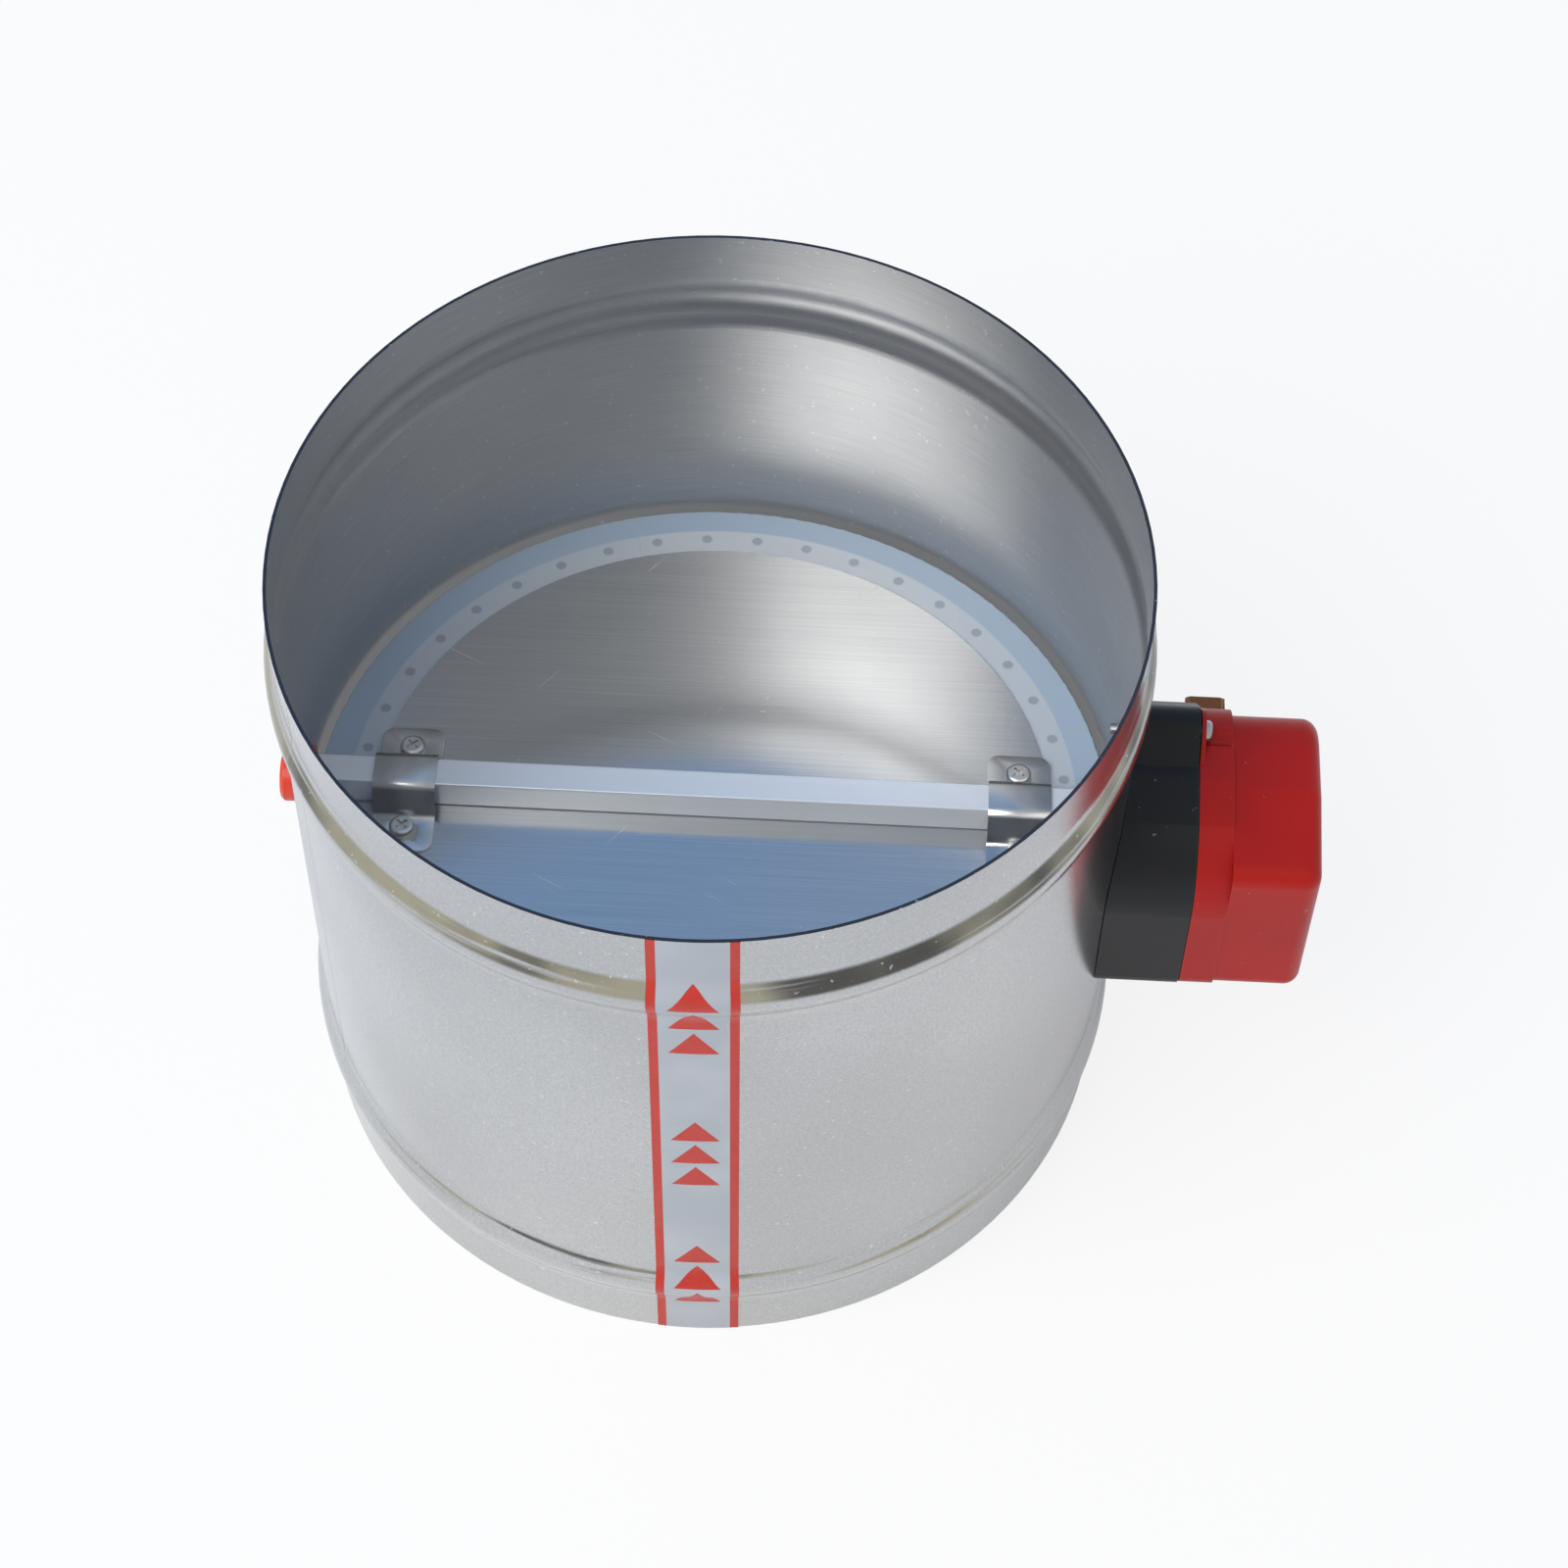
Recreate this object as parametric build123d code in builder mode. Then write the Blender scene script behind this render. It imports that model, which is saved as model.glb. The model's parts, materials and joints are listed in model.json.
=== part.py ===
"""Round volume control damper, driven by an electric actuator.

Millimetres. The origin is the centre of the casing's lower edge. +Z runs up the duct, with
the air, and +X runs along the shaft, out to the actuator. The airflow tape faces -Y.
The blade is stored a few degrees ajar, turned about the shaft from its closed, level place.
"""

import os
from math import acos, atan2, cos, degrees, pi, radians, sin, tan

from build123d import *

os.makedirs("parts", exist_ok=True)

# ---------------------------------------------------------------- driving dimensions
# Casing: a rolled and welded tube with a swaged bead near each end.
casing_radius = 150.0          # outside
casing_length = 270.0
casing_wall = 1.2
bead_height = 3.2              # crest above the plain tube
bead_half_width = 13.5
bead_inset = 35.0              # crest to the near end of the tube

# Airflow tape down the front.
tape_width = 30.0
tape_thickness = 0.2
glue_line = 0.05
tape_bearing = 1.2             # degrees round from -Y towards +X

# Shaft: a square bar.
shaft_side = 12.0
shaft_height = 133.5           # axis above the lower edge
shaft_corner = 0.7
blade_ajar = 3.35              # degrees between the stored and the closed blade

# Blade: a silicone seal between two sheet discs.
disc_thickness = 1.0
seal_clearance = 2.5           # seal's edge to the casing wall
seal_overhang = 11.3           # seal beyond the lower disc
disc_setback = 10.4            # upper disc inside the lower disc
seal_tuck = 17.3               # seal under the upper disc
seal_thickness = 2.0
joggle_run = 3.0               # the lower disc steps down under the seal
plug_count = 42
plug_inset = 4.0               # plug centres inside the lower disc's edge
plug_radius = 2.0

# Saddle clamps that hold the bar to the blade, and their M5 screws and nuts.
clamp_setback = 36.3           # clamp's middle to the casing wall
clamp_width = 23.0
clamp_sheet = 1.0
clamp_half_span = 28.5         # out to the end of a foot
clamp_foot_start = 12.8
clamp_foot_corner = 4.5
clamp_screw_offset = 18.7
screw_radius = 2.5
screw_head_radius = 4.7
screw_head_height = 3.0
nut_width = 8.0                # across flats
nut_height = 4.0

# Shaft bushes: they turn with the bar, in round holes through the casing.
bush_radius = 9.7
bush_flange_radius = 11.5
bush_flange_thickness = 1.4
bush_reach = 8.0               # how far the left bush stands out of the casing
bush_end_wall = 3.0

# Actuator housing, seen along the shaft: y runs back from the taped side, z runs up.
housing_front = -43.0
housing_back = 34.0
axis_above_bottom = 51.5
axis_below_top = 34.5
housing_bottom = shaft_height - axis_above_bottom
housing_top = shaft_height + axis_below_top
housing_foot_radius = 8.0
shoulder_start = (housing_front, housing_top - 36)
shoulder_middle = (housing_front + 5.5, housing_top - 18)
shoulder_end = (housing_front + 19, housing_top - 5)
top_flat_start = -7.0
back_corner_radius = 19.0
ear_centre_y = 12.0
ear_rise = 2.5                 # ear centre beyond the housing's top and bottom
ear_radius = 9.0
base_depth = 24.6              # out of the casing, as the next two are
floor_depth = 6.0
cover_depth = 69.5
base_split = casing_radius + base_depth  # where the base ends and the gasket starts
base_floor = casing_radius + floor_depth
base_wall = 2.4
cover_flange_depth = 12.3
cover_end = casing_radius + cover_depth
cover_wall = 2.2
cover_inset = 1.0              # cover body inside the housing, front, back and bottom
cover_top_inset = 3.0
cover_corner_radius = 7.0
cover_end_fillet = 6.0
cover_lug = 1.5                # what the cover screws clamp
cover_margin = 0.4             # cover flange inside the base all round
gasket_thickness = 0.6
gasket_inset = 0.7
gasket_width = 1.5

# Actuator screws.
m4_radius = 2.0
m4_head_radius = 4.1
m4_head_height = 2.7
mounting_offset_y = 25.0
mounting_offset_z = 18.0
mounting_tip = 2.2             # how far the screw tips stand inside the casing

# Gear train: damper gear, compound idler and motor pinion.
pressure_angle = radians(20)
addendum = 0.8                 # stub teeth, in modules
dedendum = 1.25
backlash = 0.16
slow_module = 1.25
fast_module = 0.8
damper_teeth = 40
idler_pinion_teeth = 14
idler_wheel_teeth = 36
motor_teeth = 14
damper_gear_width = 6.0
idler_wheel_width = 3.5
motor_pinion_width = 4.2
hub_radius = 10.0
hub_nose_radius = 7.0
idler_offset_y = -18.0
spindle_radius = 2.5
plate_thickness = 1.5
plate_depth = 20.0             # out of the casing
plate_level = casing_radius + plate_depth
post_radius = 4.0
post_inset = 10.0              # behind the housing's front
post_above = 10.5              # over the shaft axis
post_below = 42.5              # under it
board_post_back = 24.5
plate_post_back = 28.5
plate_screw_radius = 1.5

motor_radius = 13.0
motor_length = 24.5
motor_boss_radius = 4.0
motor_shaft_radius = 1.0

cam_radius = 12.0
cam_lobe = 2.0
cam_thickness = 4.0
switch_size = (6.4, 19.0, 9.0)
board_depth = 53.0             # out of the casing
board_level = casing_radius + board_depth
board_thickness = 1.6
board_front = -37.0            # board's edges seen along the shaft
board_back_edge = 28.5
board_above = 16.5             # over the shaft axis
board_below = 46.5             # under it
board_corner = 4.0
relay_size = (16.0, 20.0, 11.0)
relay_centre = (-18.0, -1.5)   # from the shaft axis
capacitor_radius = 5.0
capacitor_height = 12.0
capacitor_centres = [(4.0, 2.5), (18.0, 2.5)]
chip_size = (18.0, 10.0, 3.0)
chip_centre = (-8.0, -29.5)
terminal_ways = 5
terminal_pitch = 3.8
terminal_size = (terminal_ways * terminal_pitch + 1.5, 10.0, 11.0)
terminal_centre = (13.0, 3.5)
pillar_radius = 3.0

# Cable gland in the back of the cover.
gland_drop = 8.0               # under the shaft axis
gland_height = shaft_height - gland_drop
gland_radius = 7.0
gland_tube_radius = 5.0
gland_bore_radius = 3.2
gland_reach = 20.0             # out of the housing's back
gland_collar = 5.0
gland_neck_radius = 6.0

# Clearances.
running = 0.05                 # shafts and journals in their holes, on the radius
slip = 0.1                     # fixed pieces side by side
gap = 0.3                      # pieces that must not touch

# ---------------------------------------------------------------- derived places
inner_radius = casing_radius - casing_wall
seal_radius = inner_radius - seal_clearance
lower_disc_radius = seal_radius - seal_overhang
upper_disc_radius = lower_disc_radius - disc_setback
seal_inner_radius = upper_disc_radius - seal_tuck
joggle_radius = seal_inner_radius - gap - joggle_run
plug_circle = lower_disc_radius - plug_inset
clamp_offset = inner_radius - clamp_setback
blade_tilt = radians(blade_ajar)
blade = Plane(
    origin=(0, 0, shaft_height),
    x_dir=(1, 0, 0),
    z_dir=(0, sin(blade_tilt), cos(blade_tilt)),
)
blade_section = Plane(origin=blade.origin, x_dir=blade.x_dir, z_dir=-blade.y_dir)
blade_axis = Axis(blade.origin, blade.z_dir)
duct_axis = Axis.Z

blade_top = -shaft_side / 2                      # heights above the shaft axis, in the blade
disc_joint = blade_top - disc_thickness
seal_bottom = disc_joint - seal_thickness
centre_bottom = disc_joint - disc_thickness
rim_bottom = seal_bottom - disc_thickness

flange_outer = (inner_radius**2 - bush_flange_radius**2) ** 0.5 - gap
flange_inner = flange_outer - bush_flange_thickness
left_bush_end = -(casing_radius + bush_reach)
shaft_left = left_bush_end + bush_end_wall + slip
hub_start = base_floor - 3.6
right_bush_end = hub_start - slip
hub_end = plate_level + plate_thickness + 0.4
shaft_right = hub_end - 1.0
nose_end = hub_end + 9.0

cover_split = base_split + gasket_thickness
cover_step = cover_split + cover_flange_depth
plate_back = plate_level + plate_thickness

damper_gear_start = base_floor + 2.0
damper_gear_end = damper_gear_start + damper_gear_width
idler_distance = slow_module * (damper_teeth + idler_pinion_teeth) / 2
idler_height = shaft_height - (idler_distance**2 - idler_offset_y**2) ** 0.5
idler_centre = (idler_offset_y, idler_height)
motor_distance = fast_module * (idler_wheel_teeth + motor_teeth) / 2
motor_centre = (idler_offset_y + motor_distance, idler_height)
idler_start = base_floor + 1.2
idler_wheel_start = damper_gear_end + 0.8
idler_end = idler_wheel_start + idler_wheel_width

post_top = shaft_height + post_above
post_bottom = shaft_height - post_below
post_front = housing_front + post_inset
# The first three posts carry the plate and the board pillars, the fourth the plate alone.
post_spots = [(post_front, post_top), (post_front, post_bottom), (board_post_back, post_bottom)]
plate_post_spots = post_spots + [(plate_post_back, post_top)]
ear_spots = [(ear_centre_y, housing_top + ear_rise), (ear_centre_y, housing_bottom - ear_rise)]
mounting_spots = [
    (side * mounting_offset_y, shaft_height + rise * mounting_offset_z)
    for side in (-1, 1)
    for rise in (-1, 1)
]
gland_x = cover_split + cover_flange_depth / 2 + 0.4
cover_back = housing_back - cover_margin
gland_inside = cover_back - 7.0


def across(x):
    """The plane across the shaft at x: its own x is the duct's y, its own y is the height."""
    return Plane(origin=(x, 0, 0), x_dir=(0, 1, 0), z_dir=(1, 0, 0))


def facing_back(y):
    """The plane at y that faces the back: its own x is minus the duct's x."""
    return Plane(origin=(0, y, 0), x_dir=(-1, 0, 0), z_dir=(0, 1, 0))


def across_blade(x):
    """The plane across the shaft at x, turned with the blade, centred on the shaft."""
    return Plane(origin=(x, 0, shaft_height), x_dir=blade.y_dir, z_dir=(1, 0, 0))


# ---------------------------------------------------------------- casing and tape
def wall_line(radius):
    """One side of the beaded tube wall, from its top end to its bottom end."""
    lines = []
    above = casing_length
    for crest in (casing_length - bead_inset, bead_inset):
        start = (radius, crest + bead_half_width)
        rise = (radius + bead_height / 2, crest + bead_half_width / 2)
        fall = (radius + bead_height / 2, crest - bead_half_width / 2)
        end = (radius, crest - bead_half_width)
        lines.append(Line((radius, above), start))
        lines.append(TangentArc(start, rise, tangent=(0, -1)))
        lines.append(ThreePointArc(rise, (radius + bead_height, crest), fall))
        lines.append(TangentArc(end, fall, tangent=(0, 1)))
        above = end[1]
    lines.append(Line((radius, above), (radius, 0)))
    return lines


def wall_section(inside, outside):
    """Closed section of a beaded skin between two plain-tube radii."""
    with BuildSketch() as section:
        with BuildLine():
            wall_line(inside)
            wall_line(outside)
            Line((inside, casing_length), (outside, casing_length))
            Line((inside, 0), (outside, 0))
        make_face()
    return section.sketch


with BuildPart() as casing:
    with BuildSketch(Plane.XZ):
        add(wall_section(inner_radius, casing_radius))
    revolve(axis=duct_axis)
    with BuildSketch(across(-casing_radius - bead_height)):
        with Locations((0, shaft_height)):
            Circle(bush_radius + running)
    extrude(amount=2 * (casing_radius + bead_height), mode=Mode.SUBTRACT)
    with BuildSketch(across(inner_radius - 10)):
        with Locations(mounting_spots):
            Circle(m4_radius + running)
    extrude(amount=casing_wall + 10, mode=Mode.SUBTRACT)

casing.part.label = "casing"
export_step(casing.part, "parts/casing.step")

tape_angle = degrees(tape_width / casing_radius)
with BuildPart() as flow_tape:
    with BuildSketch(Plane.XZ.rotated((0, 0, -90 + tape_bearing - tape_angle / 2))):
        add(wall_section(casing_radius + glue_line, casing_radius + glue_line + tape_thickness))
    revolve(axis=duct_axis, revolution_arc=tape_angle)

flow_tape.part.label = "flow_tape"
export_step(flow_tape.part, "parts/flow_tape.step")

# ---------------------------------------------------------------- blade
clamp_screw_spots = [
    (side * clamp_offset, foot * clamp_screw_offset) for side in (-1, 1) for foot in (-1, 1)
]

with BuildPart() as blade_disc_upper:
    with BuildSketch(blade.offset(disc_joint)):
        Circle(upper_disc_radius)
        with Locations(clamp_screw_spots):
            Circle(screw_radius + slip, mode=Mode.SUBTRACT)
    extrude(amount=disc_thickness)

blade_disc_upper.part.label = "blade_disc_upper"
export_step(blade_disc_upper.part, "parts/blade_disc_upper.step")

with BuildPart() as blade_seal:
    with BuildSketch(blade.offset(seal_bottom)):
        Circle(seal_radius)
        Circle(seal_inner_radius, mode=Mode.SUBTRACT)
        with Locations(clamp_screw_spots):
            Circle(screw_radius + slip, mode=Mode.SUBTRACT)
    extrude(amount=seal_thickness)
    fillet(blade_seal.edges().filter_by(GeomType.CIRCLE).group_by(SortBy.RADIUS)[-1], seal_thickness / 3)
    with BuildSketch(blade.offset(rim_bottom)):
        with PolarLocations(plug_circle, plug_count):
            Circle(plug_radius)
    extrude(amount=disc_thickness)

blade_seal.part.label = "blade_seal"
export_step(blade_seal.part, "parts/blade_seal.step")

with BuildPart() as blade_disc_lower:
    with BuildSketch(blade_section):
        with BuildLine():
            Polyline(
                (0, disc_joint),
                (joggle_radius, disc_joint),
                (joggle_radius + joggle_run, seal_bottom),
                (lower_disc_radius, seal_bottom),
                (lower_disc_radius, rim_bottom),
                (joggle_radius + joggle_run, rim_bottom),
                (joggle_radius, centre_bottom),
                (0, centre_bottom),
                close=True,
            )
        make_face()
    revolve(axis=blade_axis)
    with BuildSketch(blade.offset(rim_bottom)):
        with PolarLocations(plug_circle, plug_count):
            Circle(plug_radius + running)
        with Locations(clamp_screw_spots):
            Circle(screw_radius + slip)
    extrude(amount=disc_thickness, mode=Mode.SUBTRACT)

blade_disc_lower.part.label = "blade_disc_lower"
export_step(blade_disc_lower.part, "parts/blade_disc_lower.step")

# ---------------------------------------------------------------- shaft, clamps and bushes
with BuildPart() as damper_shaft:
    with BuildSketch(across_blade(shaft_left)):
        RectangleRounded(shaft_side, shaft_side, shaft_corner)
    extrude(amount=shaft_right - shaft_left)

damper_shaft.part.label = "damper_shaft"
export_step(damper_shaft.part, "parts/damper_shaft.step")


def saddle_clamp(centre_x):
    """Bent strip: over the bar, down both sides and out to a foot with a screw hole."""
    bar_top = shaft_side / 2 + slip
    crown = shaft_side / 2 + 0.8
    with BuildPart() as clamp:
        with BuildSketch(across_blade(centre_x - clamp_width / 2)):
            with BuildLine() as strip:
                Polyline(
                    (-clamp_half_span, blade_top),
                    (-clamp_foot_start, blade_top),
                    (-crown, bar_top),
                    (crown, bar_top),
                    (clamp_foot_start, blade_top),
                    (clamp_half_span, blade_top),
                )
                bends = strip.vertices().sort_by(Axis.X)[1:-1]
                fillet(bends, clamp_sheet)
                offset(amount=clamp_sheet, side=Side.LEFT)
            make_face()
        extrude(amount=clamp_width)
        corners = clamp.edges().filter_by(Axis(blade.origin, blade.z_dir)).group_by(Axis.Y)
        fillet(corners[0] + corners[-1], clamp_foot_corner)
        with BuildSketch(blade.offset(blade_top)):
            with Locations((centre_x, -clamp_screw_offset), (centre_x, clamp_screw_offset)):
                Circle(screw_radius + slip)
        extrude(amount=clamp_sheet, mode=Mode.SUBTRACT)
    return clamp


saddle_clamp_left = saddle_clamp(-clamp_offset)
saddle_clamp_left.part.label = "saddle_clamp_left"
export_step(saddle_clamp_left.part, "parts/saddle_clamp_left.step")

saddle_clamp_right = saddle_clamp(clamp_offset)
saddle_clamp_right.part.label = "saddle_clamp_right"
export_step(saddle_clamp_right.part, "parts/saddle_clamp_right.step")


def pan_screws(spots, seat, shank_radius, head_radius, head_height, shank_length):
    """Cross-recessed pan-head screws with their heads on the seat plane."""
    with BuildPart() as screws:
        with BuildSketch(seat):
            with Locations(spots):
                Circle(head_radius)
        extrude(amount=head_height)
        rims = screws.faces().filter_by(Axis(seat.origin, seat.z_dir))
        rims = rims.sort_by(Axis(seat.origin, seat.z_dir))[-len(spots):]
        fillet(rims.edges(), head_height * 0.55)
        with BuildSketch(seat):
            with Locations(spots):
                Circle(shank_radius)
        extrude(amount=-shank_length)
        with BuildSketch(seat.offset(head_height)):
            with Locations(spots):
                Rectangle(head_radius * 1.1, head_radius * 0.24, rotation=45)
                Rectangle(head_radius * 0.24, head_radius * 1.1, rotation=45)
        extrude(amount=-head_height / 2, mode=Mode.SUBTRACT)
    return screws


clamp_screws = pan_screws(
    clamp_screw_spots,
    blade.offset(blade_top + clamp_sheet),
    screw_radius,
    screw_head_radius,
    screw_head_height,
    clamp_sheet + 2 * disc_thickness + seal_thickness + nut_height + 1.5,
)
clamp_screws.part.label = "clamp_screws"
export_step(clamp_screws.part, "parts/clamp_screws.step")

with BuildPart() as clamp_nuts:
    with BuildSketch(blade.offset(rim_bottom)):
        with Locations(clamp_screw_spots):
            RegularPolygon(nut_width / 2, 6, major_radius=False)
            Circle(screw_radius + running, mode=Mode.SUBTRACT)
    extrude(amount=-nut_height)

clamp_nuts.part.label = "clamp_nuts"
export_step(clamp_nuts.part, "parts/clamp_nuts.step")

with BuildPart() as bush_left:
    with BuildSketch(across_blade(-flange_inner)):
        Circle(bush_flange_radius)
    extrude(amount=-bush_flange_thickness)
    with BuildSketch(across_blade(-flange_inner)):
        Circle(bush_radius)
    extrude(amount=left_bush_end + flange_inner)
    chamfer(bush_left.edges().sort_by(Axis.X)[0], 1.2)
    with BuildSketch(across_blade(-flange_inner)):
        Rectangle(shaft_side + 2 * slip, shaft_side + 2 * slip)
    extrude(amount=left_bush_end + bush_end_wall + flange_inner, mode=Mode.SUBTRACT)

bush_left.part.label = "bush_left"
export_step(bush_left.part, "parts/bush_left.step")

with BuildPart() as bush_right:
    with BuildSketch(across_blade(flange_inner)):
        Circle(bush_flange_radius)
    extrude(amount=bush_flange_thickness)
    with BuildSketch(across_blade(flange_inner)):
        Circle(bush_radius)
    extrude(amount=right_bush_end - flange_inner)
    with BuildSketch(across_blade(flange_inner)):
        Rectangle(shaft_side + 2 * slip, shaft_side + 2 * slip)
    extrude(amount=right_bush_end - flange_inner, mode=Mode.SUBTRACT)

bush_right.part.label = "bush_right"
export_step(bush_right.part, "parts/bush_right.step")


# ---------------------------------------------------------------- actuator housing
def foot_corners(front, back, bottom, start, end):
    """The lower half of a housing outline, from end down, round under and up to start."""
    lower = bottom + housing_foot_radius
    Line(end, (back, lower))
    TangentArc((back, lower), (back - housing_foot_radius, bottom), tangent=(0, -1))
    Line((back - housing_foot_radius, bottom), (front + housing_foot_radius, bottom))
    TangentArc((front + housing_foot_radius, bottom), (front, lower), tangent=(-1, 0))
    Line((front, lower), start)


def housing_outline():
    """Outline of the base: sloping front shoulder, flat top and a round back corner."""
    corner_start = (housing_back - back_corner_radius, housing_top)
    corner_end = (housing_back, housing_top - back_corner_radius)
    with BuildSketch() as outline:
        with BuildLine():
            ThreePointArc(shoulder_start, shoulder_middle, shoulder_end)
            Line(shoulder_end, (top_flat_start, housing_top))
            Line((top_flat_start, housing_top), corner_start)
            TangentArc(corner_start, corner_end, tangent=(1, 0))
            foot_corners(housing_front, housing_back, housing_bottom, shoulder_start, corner_end)
        make_face()
    return outline.sketch


def ears(radius):
    """A lobe above and a lobe below the housing, each round a cover screw."""
    with BuildSketch() as lobes:
        for y, z in ear_spots:
            root = shaft_height + 0.8 * (z - shaft_height)
            with BuildSketch(mode=Mode.PRIVATE) as lobe:
                with BuildLine():
                    CenterArc((y, z), radius, 0, 360)
                    Line((y - 2 * radius, root), (y + 2 * radius, root))
                make_hull()
            add(lobe.sketch)
    return lobes.sketch


def cover_outline():
    """Outline of the cover's body: square-shouldered in front, lower than the flange on top."""
    front = housing_front + cover_inset
    back = housing_back - 1.5 * cover_inset
    top = housing_top - cover_top_inset
    corner_start = (back - back_corner_radius + 1, top)
    corner_end = (back, top - back_corner_radius + 1)
    with BuildSketch() as outline:
        with BuildLine():
            crown = Line((front, top - 8), (top_flat_start - 1, top))
            Line(crown @ 1, corner_start)
            TangentArc(corner_start, corner_end, tangent=(1, 0))
            foot_corners(front, back, housing_bottom + cover_inset, crown @ 0, corner_end)
        make_face()
        fillet(outline.vertices().group_by(Axis.X)[0].sort_by(Axis.Y)[-1], cover_corner_radius)
    return outline.sketch


with BuildPart() as actuator_base:
    with BuildSketch(across(inner_radius - 15)):
        add(housing_outline())
        add(ears(ear_radius))
    extrude(amount=base_split - inner_radius + 15)
    with BuildSketch(Plane.XY.offset(housing_bottom - 20)):
        Circle(casing_radius + 2 * slip)
    extrude(amount=housing_top - housing_bottom + 40, mode=Mode.SUBTRACT)
    with BuildSketch(across(base_floor)):
        offset(housing_outline(), amount=-base_wall)
    extrude(amount=base_split - base_floor, mode=Mode.SUBTRACT)
    with BuildSketch(across(base_floor)):
        with Locations(plate_post_spots):
            Circle(post_radius)
    extrude(amount=plate_level - base_floor)
    with BuildSketch(across(base_floor)):
        with Locations(idler_centre):
            Circle(spindle_radius + 1.5)
    extrude(amount=idler_start - base_floor - gap)
    with BuildSketch(across(inner_radius - 15)):
        with Locations((0, shaft_height)):
            Circle(hub_radius + running)
        with Locations(mounting_spots):
            Circle(m4_radius + running)
    extrude(amount=base_floor - inner_radius + 15, mode=Mode.SUBTRACT)
    with BuildSketch(across(base_floor)):
        with Locations(mounting_spots):
            Circle(m4_head_radius + gap)
    extrude(amount=-m4_head_height - slip, mode=Mode.SUBTRACT)
    with BuildSketch(across(base_floor + 2)):
        with Locations(idler_centre):
            Circle(spindle_radius + running)
    extrude(amount=-6.5, mode=Mode.SUBTRACT)
    with BuildSketch(across(base_split)):
        with Locations(ear_spots):
            Circle(m4_radius + running)
    extrude(amount=-12, mode=Mode.SUBTRACT)
    with BuildSketch(across(plate_level)):
        with Locations(plate_post_spots):
            Circle(plate_screw_radius + running)
    extrude(amount=-8, mode=Mode.SUBTRACT)

actuator_base.part.label = "actuator_base"
export_step(actuator_base.part, "parts/actuator_base.step")

with BuildPart() as cover_gasket:
    with BuildSketch(across(base_split)):
        offset(housing_outline(), amount=-gasket_inset)
        offset(housing_outline(), amount=-gasket_inset - gasket_width, mode=Mode.SUBTRACT)
    extrude(amount=gasket_thickness)

cover_gasket.part.label = "cover_gasket"
export_step(cover_gasket.part, "parts/cover_gasket.step")

with BuildPart() as actuator_cover:
    with BuildSketch(across(cover_step - 4)):
        add(cover_outline())
    extrude(amount=cover_end - cover_step + 4)
    fillet(actuator_cover.faces().sort_by(Axis.X)[-1].edges(), cover_end_fillet)
    with BuildSketch(across(cover_step)):
        Rectangle(400, 600)
    extrude(amount=-10, mode=Mode.SUBTRACT)
    with BuildSketch(across(cover_split)):
        offset(housing_outline(), amount=-cover_margin)
    extrude(amount=cover_flange_depth)
    with BuildSketch(across(cover_split)):
        add(ears(ear_radius - 1))
    extrude(amount=cover_lug)
    with BuildSketch(across(cover_split + cover_lug)):
        with Locations(ear_spots):
            Circle(m4_head_radius + 1)
    extrude(amount=cover_end, mode=Mode.SUBTRACT)
    with BuildSketch(across(cover_split)):
        with Locations(ear_spots):
            Circle(m4_radius + slip)
    extrude(amount=cover_lug, mode=Mode.SUBTRACT)
    with BuildSketch(across(cover_split)):
        offset(housing_outline(), amount=-base_wall)
        offset(cover_outline(), amount=-cover_wall, mode=Mode.INTERSECT)
    extrude(amount=cover_end - cover_wall - cover_split, mode=Mode.SUBTRACT)
    with BuildSketch(facing_back(cover_back + 1)):
        with Locations((-gland_x, gland_height)):
            Circle(gland_tube_radius + slip)
    extrude(amount=-8, mode=Mode.SUBTRACT)

actuator_cover.part.label = "actuator_cover"
export_step(actuator_cover.part, "parts/actuator_cover.step")

# ---------------------------------------------------------------- actuator screws
cover_screws = pan_screws(
    ear_spots,
    across(cover_split + cover_lug),
    m4_radius,
    m4_head_radius,
    m4_head_height,
    12.0,
)
cover_screws.part.label = "cover_screws"
export_step(cover_screws.part, "parts/cover_screws.step")

mounting_seat = base_floor - m4_head_height - slip
tip_x = (inner_radius**2 - mounting_offset_y**2) ** 0.5 - mounting_tip
mounting_screws = pan_screws(
    mounting_spots,
    across(mounting_seat),
    m4_radius,
    m4_head_radius,
    m4_head_height,
    mounting_seat - tip_x,
)
mounting_screws.part.label = "mounting_screws"
export_step(mounting_screws.part, "parts/mounting_screws.step")


# ---------------------------------------------------------------- gear train
def gear_outline(module, teeth, tooth_at):
    """Spur gear section with one tooth centred on the bearing tooth_at, in degrees."""
    pitch = module * teeth / 2
    base = pitch * cos(pressure_angle)
    root = pitch - dedendum * module
    tip = pitch + addendum * module
    half_at_pitch = (pi * module / 2 - backlash) / 2 / pitch

    def involute(angle):
        return tan(angle) - angle

    def flank(radius):
        turn = half_at_pitch + involute(pressure_angle) - involute(acos(base / radius))
        return radius * cos(turn), radius * sin(turn)

    start = max(base, root) + 0.001
    foot = flank(start)
    middle = flank((start + tip) / 2)
    end = flank(tip)
    heel = [value * (root - module / 4) / start for value in foot]
    with BuildSketch(mode=Mode.PRIVATE) as tooth:
        with BuildLine():
            ThreePointArc(foot, middle, end)
            Line(end, (end[0], -end[1]))
            ThreePointArc((end[0], -end[1]), (middle[0], -middle[1]), (foot[0], -foot[1]))
            Polyline((foot[0], -foot[1]), (heel[0], -heel[1]), heel, foot)
        make_face()
    with BuildSketch() as outline:
        Circle(root)
        with PolarLocations(0, teeth, start_angle=tooth_at):
            add(tooth.sketch)
    return outline.sketch


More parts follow.
